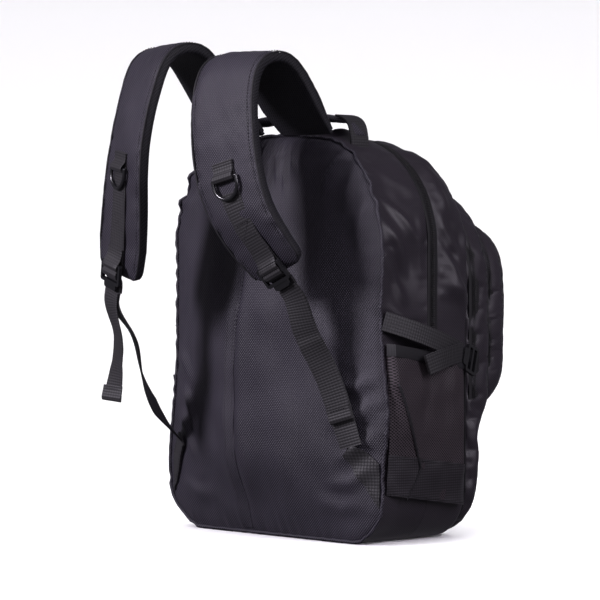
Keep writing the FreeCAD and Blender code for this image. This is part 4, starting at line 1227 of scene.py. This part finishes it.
STRAP_PATH = {
    "right": [(54, -6, 410), (53, -26, 436), (51, -45, 463), (50, -70, 481), (50, -97, 475), (53, -113, 444),
              (62, -121, 399), (72, -119, 351), (85, -103, 307), (94, -87, 283)],
    "left": [(-54, -6, 410), (-54, -30, 443), (-53, -55, 472), (-53, -84, 494), (-55, -112, 488),
             (-57, -129, 458), (-61, -138, 418), (-68, -140, 373), (-75, -137, 336), (-83, -133, 303),
             (-89, -130, 282)],
}
RING_SHARE = {"right": 0.77, "left": 0.75}
STRAP_TURN = {  # degrees about the vertical, as the frame's straps are turned
    "right": [0, 2, 4, 5, 5, 6, 8, 9, 10, 10, 10],
    "left": [0, -4, -8, -11, -13, -14, -15, -15, -13, -9, -5, -5],
}
STRAP_STEPS = 124
OVERRUN = 15.0


def strap_section():
    """One strap's section, from its left edge over the outer face: place across, out, and material."""
    points = []
    for a in np.linspace(-1, 1, 23):
        points.append((a, 1.0 - 0.28 * abs(a) ** 6 + 0.10 * (1 - a * a), 0))
    for t in (0.6, 0.15, -0.3, -0.75):
        points.append((1 + 0.035 * math.cos(t), t * 0.9, 1))
    for a in np.linspace(1, -1, 17):
        points.append((a, -1.0 + 0.22 * abs(a) ** 6, 1))
    for t in (-0.75, -0.3, 0.15, 0.6):
        points.append((-1 - 0.035 * math.cos(t), t * 0.9, 1))
    return points


def shoulder_straps():
    section = strap_section()
    for side, sign in SIDES.items():
        body = f"{side}_strap"
        path = STRAP_PATH[side]
        past = np.array(path[-1], float) - np.array(path[-2], float)
        last = np.array(path[-1], float) + past / np.linalg.norm(past) * OVERRUN
        turns = np.radians(STRAP_TURN[side])
        across = np.stack([np.cos(turns), np.sin(turns), turns * 0], 1)
        across[0] = (1, 0, -sign * 0.1)
        across[-2:, 2] = 0.12 * sign
        place, way, wide, out = stations(path + [tuple(last)], across, STRAP_STEPS)
        share = np.linspace(0, 1, STRAP_STEPS)
        lock_at = int(np.linalg.norm(place - np.array(path[-1], float), axis=1).argmin())
        width = blendlist([78] * (len(path) - 2) + [75, 72, 64], share) / 2
        end = np.clip((1 - share) / 0.035, 0, 1)
        width *= 0.72 + 0.28 * np.sqrt(1 - (1 - end) ** 2)
        wall = blendlist([5.5] + [12.5] * (len(path) - 2) + [11.5, 10.5], share) / 2
        wall *= 0.45 + 0.55 * np.sqrt(1 - (1 - end) ** 2)
        a = np.array([p[0] for p in section])[None] * width[:, None]
        n = np.array([p[1] for p in section])[None] * wall[:, None]
        rings = place[:, None] + wide[:, None] * a[..., None] + out[:, None] * n[..., None]
        flat = rings.copy()
        inner = np.array([p[2] for p in section]) == 0
        wave = 0.55 * lumps(flat, 44, 91) + 0.22 * lumps(flat, 17, 92)
        steps = arc_of(place)
        edge_gap = width[:, None] - np.abs(a)
        wave = wave + gathers(steps, 93)[:, None] * 0.45 * np.exp(-edge_gap / 6)
        groove = -1.1 * np.exp(-((edge_gap - 4.5) / 1.3) ** 2)
        rings = rings + out[:, None] * ((wave + groove) * inner[None])[..., None]
        mats = [p[2] for p in section]
        pad = rings_piece(f"{side}_strap_skin", rings, ["strap_twill", "air_mesh"],
                          mats_of=lambda j, m=mats: max(m[j], m[(j + 1) % len(m)]), crisp=60)
        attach(pad, body)
        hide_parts(f"{side}_strap_pad")
        for k, s in enumerate((-1, 1)):
            line = place[2:-3] + wide[2:-3] * (s * (width[2:-3] - 4.5))[:, None] + \
                out[2:-3] * (wall[2:-3] * 1.0)[:, None]
            stitches(f"{side}_strap_thread_{k}", line, out[2:-3], body, rise=0.4)
            rim = place[1:-2] + wide[1:-2] * (s * (width[1:-2] + 0.3))[:, None] \
                + out[1:-2] * (wall[1:-2] * 0.72)[:, None]
            cord = cord_round(f"{side}_strap_rim_{k}", rim, 1.15, "binding", crinkle=0.08)
            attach(cord, body)
        to_lock = tuple(v[:lock_at + 1] for v in (place, way, wide, out))
        strap_hardware(side, *to_lock, body)


BOX_STITCH = ((-9, -10), (9, -10)), ((-9, 6), (9, 6)), ((-9, -10), (9, 6)), ((-9, 6), (9, -10))


def hinge_of(joint):
    """A joint's place in millimetres and its axis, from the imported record."""
    row = next(row for row in frame["record"]["behaviour"]["joints"] if row["name"] == joint)
    return np.array(row["pos_m"]) / MM, np.array(row["axis"])


def meshes_of(node):
    return [node] if node.type == "MESH" else [part for part in node.children_recursive if part.type == "MESH"]


def lock_seat(side):
    """A ladder lock's top edge, the way down it and the way out of its face, from its hinge and its node."""
    pivot, axis = hinge_of(f"{side}_lock_tilt")
    node = frame["nodes"][f"{side}_lock"]
    parts = meshes_of(node)
    spots = np.array([part.matrix_world @ v.co for part in parts for v in part.data.vertices]) / MM - pivot
    middle = (spots.min(0) + spots.max(0)) / 2
    across = axis / np.linalg.norm(axis)
    along = middle - across * (middle @ across)
    along /= np.linalg.norm(along)
    for _ in range(LOCK_ROUNDS):
        up = np.cross(along, -across)
        lip = spots[spots @ along > LOCK_RUN]
        along = along + up * (lip @ up).mean() / (lip @ along).mean()
        along /= np.linalg.norm(along)
    return pivot - along * LOCK_BAR / 2, along, np.cross(along, -across)


def strap_hardware(side, place, way, wide, out, body):
    """The sewn webbing, the tab of the ring and the loop of the ladder lock."""
    ring_at = round(RING_SHARE[side] * (len(place) - 1))
    keep = slice(ring_at, None)
    lift = 6.25 + 0.8 + 0.5
    found = tuple(v[keep] for v in (place, way, wide, out))
    sewn = band_piece(f"{side}_sewn_webbing", found, 25, 1.6, lift, seed=94)
    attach(sewn, body)
    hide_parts(f"{side}_strap_webbing")
    count = len(found[0])
    for k, s in enumerate((-1, 1)):
        line = found[0] + found[2] * (s * 10.6) + found[3] * (lift + 0.85)
        stitches(f"{side}_webbing_thread_{k}", line, found[3], body, pitch=3.0)
    # box stitch close to the lock
    c, w, a, o = (v[-14] for v in found)
    for k, (p, q) in enumerate(BOX_STITCH):
        line = []
        for t in np.linspace(0, 1, 12):
            line.append(c + a * (p[0] + (q[0] - p[0]) * t) + w * (p[1] + (q[1] - p[1]) * t) + o * (lift + 0.9))
        line = np.array(line)
        stitches(f"{side}_box_thread_{k}", line, np.tile(o, (12, 1)), body, pitch=2.6, length=1.9)
    # the ring's tab: webbing round the ring's bar, sewn at its upper end
    base, _ = hinge_of(f"{side}_ring_flip")
    i = int(np.linalg.norm(place + out * 10.6 - base, axis=1).argmin())
    w, a, o = way[i], wide[i], out[i]
    tab_path = [base - w * 17 - o * 2.9, base - w * 6 - o * 3.2, base - w * 1 - o * 2.9, base + w * 2.7,
                base - w * 0.4 + o * 2.9, base - w * 6 - o * 0.2, base - w * 16 - o * 1.3]
    tab = band_piece(f"{side}_ring_tab", stations(tab_path, [a, a], 40), 25, 1.4, seed=95)
    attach(tab, body)
    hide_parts(f"{side}_ring_loop")
    c, w, a, o = place[-1], way[-1], wide[-1], out[-1]
    loop_path = [c + w * u + o * v for u, v in ((-15, 9.4), (-7, 10.0), (-1.5, 12.2), (1.6, 14.8), (4.6, 15.6),
                                                (7.6, 13.6), (7.9, 10.6), (5.6, 8.0), (0, 7.6), (-8, 7.6))]
    loop = band_piece(f"{side}_lock_tab", stations(loop_path, [a, a], 46), 25, 1.3, seed=96)
    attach(loop, body)
    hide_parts(f"{side}_lock_loop")


LOWER_PATH = {
    "right": [(110, -60, 215), (114, -46, 188), (121, -34, 158), (128, -27, 128)],
    "left": [(-95, -118, 214), (-101, -103, 196), (-114, -86, 168), (-124, -62, 134), (-130, -36, 110)],
}
TAIL_PATH = {
    "left": [(-99, -128, 206), (-104, -124, 185), (-108, -124, 163), (-110, -127, 139)],
}
WEB_TURN = {
    "right": [(0.85, 0.35, 0.40), (0.76, 0.55, 0.34), (0.80, 0.48, 0.32), (0.93, 0.26, 0.30)],
    "left": [(0.80, -0.35, -0.20), (0.78, -0.52, -0.20), (0.55, -0.80, -0.10), (0.86, -0.30, -0.30)],
}
TAIL_TURN = [(0.80, -0.25, -0.20), (0.75, -0.20, -0.30), (0.80, 0.15, -0.30)]
LOCK_BAR, LOCK_RUN, LOCK_LIP, LOCK_ROUNDS = 3.4, 22.2, 6.0, 4


def lower_webbings():
    for side, sign in SIDES.items():
        base, along, up = lock_seat(side)
        side_way = np.cross(up, along)
        start = base + along * (LOCK_RUN + LOCK_LIP + 1.5)
        across = [side_way] + WEB_TURN[side]
        tip = (sign * 135, -21.0, 98)
        main = [start + along * 0.4 - up * 4.4, start + along * 9 - up * 4.0] + LOWER_PATH[side] + [tip]
        lower = band_piece(f"{side}_adjusting_webbing", stations(main, across, 90), 25, 1.6, seed=101)
        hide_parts(f"{side}_lower_webbing")
        if side == "right":  # the loose end lies on the webbing
            share = np.linspace(0, 1, 90)
            found = stations(main, across, 90)
            rise = (1.8 + 1.4 * ease(share, 0.30, 0.36))[:, None]
            found = tuple(v[:76] for v in (found[0] + found[3] * rise, found[1], found[2], found[3]))
        else:
            loose = [start + along * 0.4 - up * 2.4, start + along * 9 - up * 1.4] + TAIL_PATH[side]
            found = stations(loose, [side_way] + TAIL_TURN, 80)
        tail = band_piece(f"{side}_loose_end", found, 24.6, 1.6, seed=102)
        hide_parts(f"{side}_webbing_tail")
        # the folded and sewn end of the loose webbing
        place, way, wide, out = found
        c, w, a, o = place[-1], way[-1], wide[-1], out[-1]
        turned = [c - w * 15 + o * 1.9, c - w * 6 + o * 2.0, c - w * 0.4 + o * 1.5, c + w * 0.5 + o * 0.4]
        hem = band_piece(f"{side}_loose_end_fold", stations(turned, [a, a], 14), 25, 1.5, seed=103)
        line = np.array([c - w * 12 + a * t + o * 3.0 for t in np.linspace(-10, 10, 14)])
        for piece in (lower, tail, hem):
            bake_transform(piece)
        thread = stitches(f"{side}_loose_end_thread", line, np.tile(o, (14, 1)), None, pitch=2.8, length=2.0)
        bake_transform(thread)
        # webbing inside the lock, round its bars
        run = [base + along * u + up * v for u, v in (
            (31, -4.4), (22, -4.2), (17.0, -2.2), (14.6, 1.4), (11.1, 2.7), (7.8, 1.4), (6.4, -1.6), (10.4, -3.0),
            (18, -5.6), (31, -6.0))]
        piece = band_piece(f"{side}_lock_webbing", stations(run, [side_way, side_way], 50), 24.6, 1.4, seed=104)
        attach(piece, f"{side}_lock_body")
        anchor_tab(side, sign)


def anchor_tab(side, sign):
    """A folded triangle of webbing in the corner seam."""
    corners = [(157, 37), (157, 82), (137, 101), (126, 88)]
    rows, cols = 20, 20
    grid = np.empty((rows, cols, 3))
    for i in range(rows):
        for j in range(cols):
            s, t = i / (rows - 1), j / (cols - 1)
            (x0, z0), (x1, z1), (x2, z2), (x3, z3) = corners
            a = (x0 + (x1 - x0) * s, z0 + (z1 - z0) * s)
            b = (x3 + (x2 - x3) * s, z3 + (z2 - z3) * s)
            grid[i, j] = (sign * (a[0] + (b[0] - a[0]) * t), 0, a[1] + (b[1] - a[1]) * t)
    under = surface_y(bpy.data.objects["back_skin"], grid.reshape(-1, 3)).reshape(rows, cols)
    under = np.where(np.abs(grid[..., 0]) > 155.5, np.minimum(under, -1.0), under)
    t = np.linspace(0, 1, cols)[None, :]
    grid[..., 1] = under - 2.6 - 3.0 * t ** 2
    uvs = np.stack([grid[..., 2], grid[..., 0] * sign], -1)
    piece = sheet_piece(f"{side}_anchor_patch", grid, 2.2, "webbing", uvs=uvs, outward=(0, 100, 70))
    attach(piece, "pack")
    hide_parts(f"{side}_anchor_tab")
    for k, s in enumerate((0.08, 0.92)):
        row = grid[round(s * (rows - 1))] + (0, -0.2, 0)
        stitches(f"{side}_anchor_thread_{k}", row, np.tile([0, -1.0, 0], (cols, 1)), "pack")


# ---------------------------------------------------------------- grab handle

def handle_and_tabs():
    path = [(-98, 24, 407), (-94.5, 24, 416.5), (-77, 24, 423.5), (0, 24, 426.5), (77, 24, 423.5), (94.5, 24, 416.5),
            (98, 24, 407)]
    count = 90
    place, way, wide, out = stations(path, [(0, 1, 0), (0, 1, 0)], count)
    share = np.linspace(0, 1, count)
    width = blendlist([20, 26, 27, 27, 27, 26, 20], share) / 2
    wall = blendlist([3.2, 6, 10, 11, 10, 6, 3.2], share) / 2
    angle = np.linspace(0, 2 * np.pi, 28, endpoint=False)
    a = np.sign(np.cos(angle)) * np.abs(np.cos(angle)) ** 0.75
    n = np.sign(np.sin(angle)) * np.abs(np.sin(angle)) ** 0.75
    rings = place[:, None] + wide[:, None] * (width[:, None] * a[None])[..., None] \
        + out[:, None] * (wall[:, None] * n[None])[..., None]
    rings = rings + out[:, None] * (0.5 * lumps(rings, 22, 111))[..., None]
    steps = arc_of(place)
    grip = rings_piece("handle_grip", rings, "strap_twill", crisp=0)
    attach(grip, "handle")
    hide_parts("grab_handle")
    for side, sign in SIDES.items():
        tab_path = [(sign * 99, 24, 392), (sign * 99.5, 24, 402), (sign * 98.4, 24, 410), (sign * 95, 24, 420),
                    (sign * 87, 24, 427), (sign * 77, 24, 430.5)]
        found = stations(tab_path, [(0, 1, 0), (0, 1, 0)], 40)
        tab = band_piece(f"{side}_handle_webbing", found, [24, 25, 25], 2.2, [0.0, 0.8, 2.6] if sign > 0 else
                         [0.0, -0.8, -2.6], seed=112)
        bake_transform(tab)
        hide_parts(f"{side}_handle_tab")


def carried_over():
    """Fresh materials for the CAD nodes that stay: locks, rings, sliders and pulls."""
    looks = {"lock": "buckle_plastic", "ring": "ring_plastic", "slider": "zip_metal", "pull": "zip_metal"}
    for name, piece in frame["nodes"].items():
        for ending, look in looks.items():
            if name.endswith(ending):
                for part in meshes_of(piece):
                    for slot in part.material_slots:
                        slot.material = MATERIALS[look]
                    part.data.shade_smooth()
                    part.data.set_sharp_from_angle(angle=math.radians(35))


stage_and_camera()
back_panel()
rear_gusset()
front_gusset()
main_zip()
front_lobes()
side_pockets()
compression_straps()
shoulder_straps()
lower_webbings()
handle_and_tabs()
carried_over()
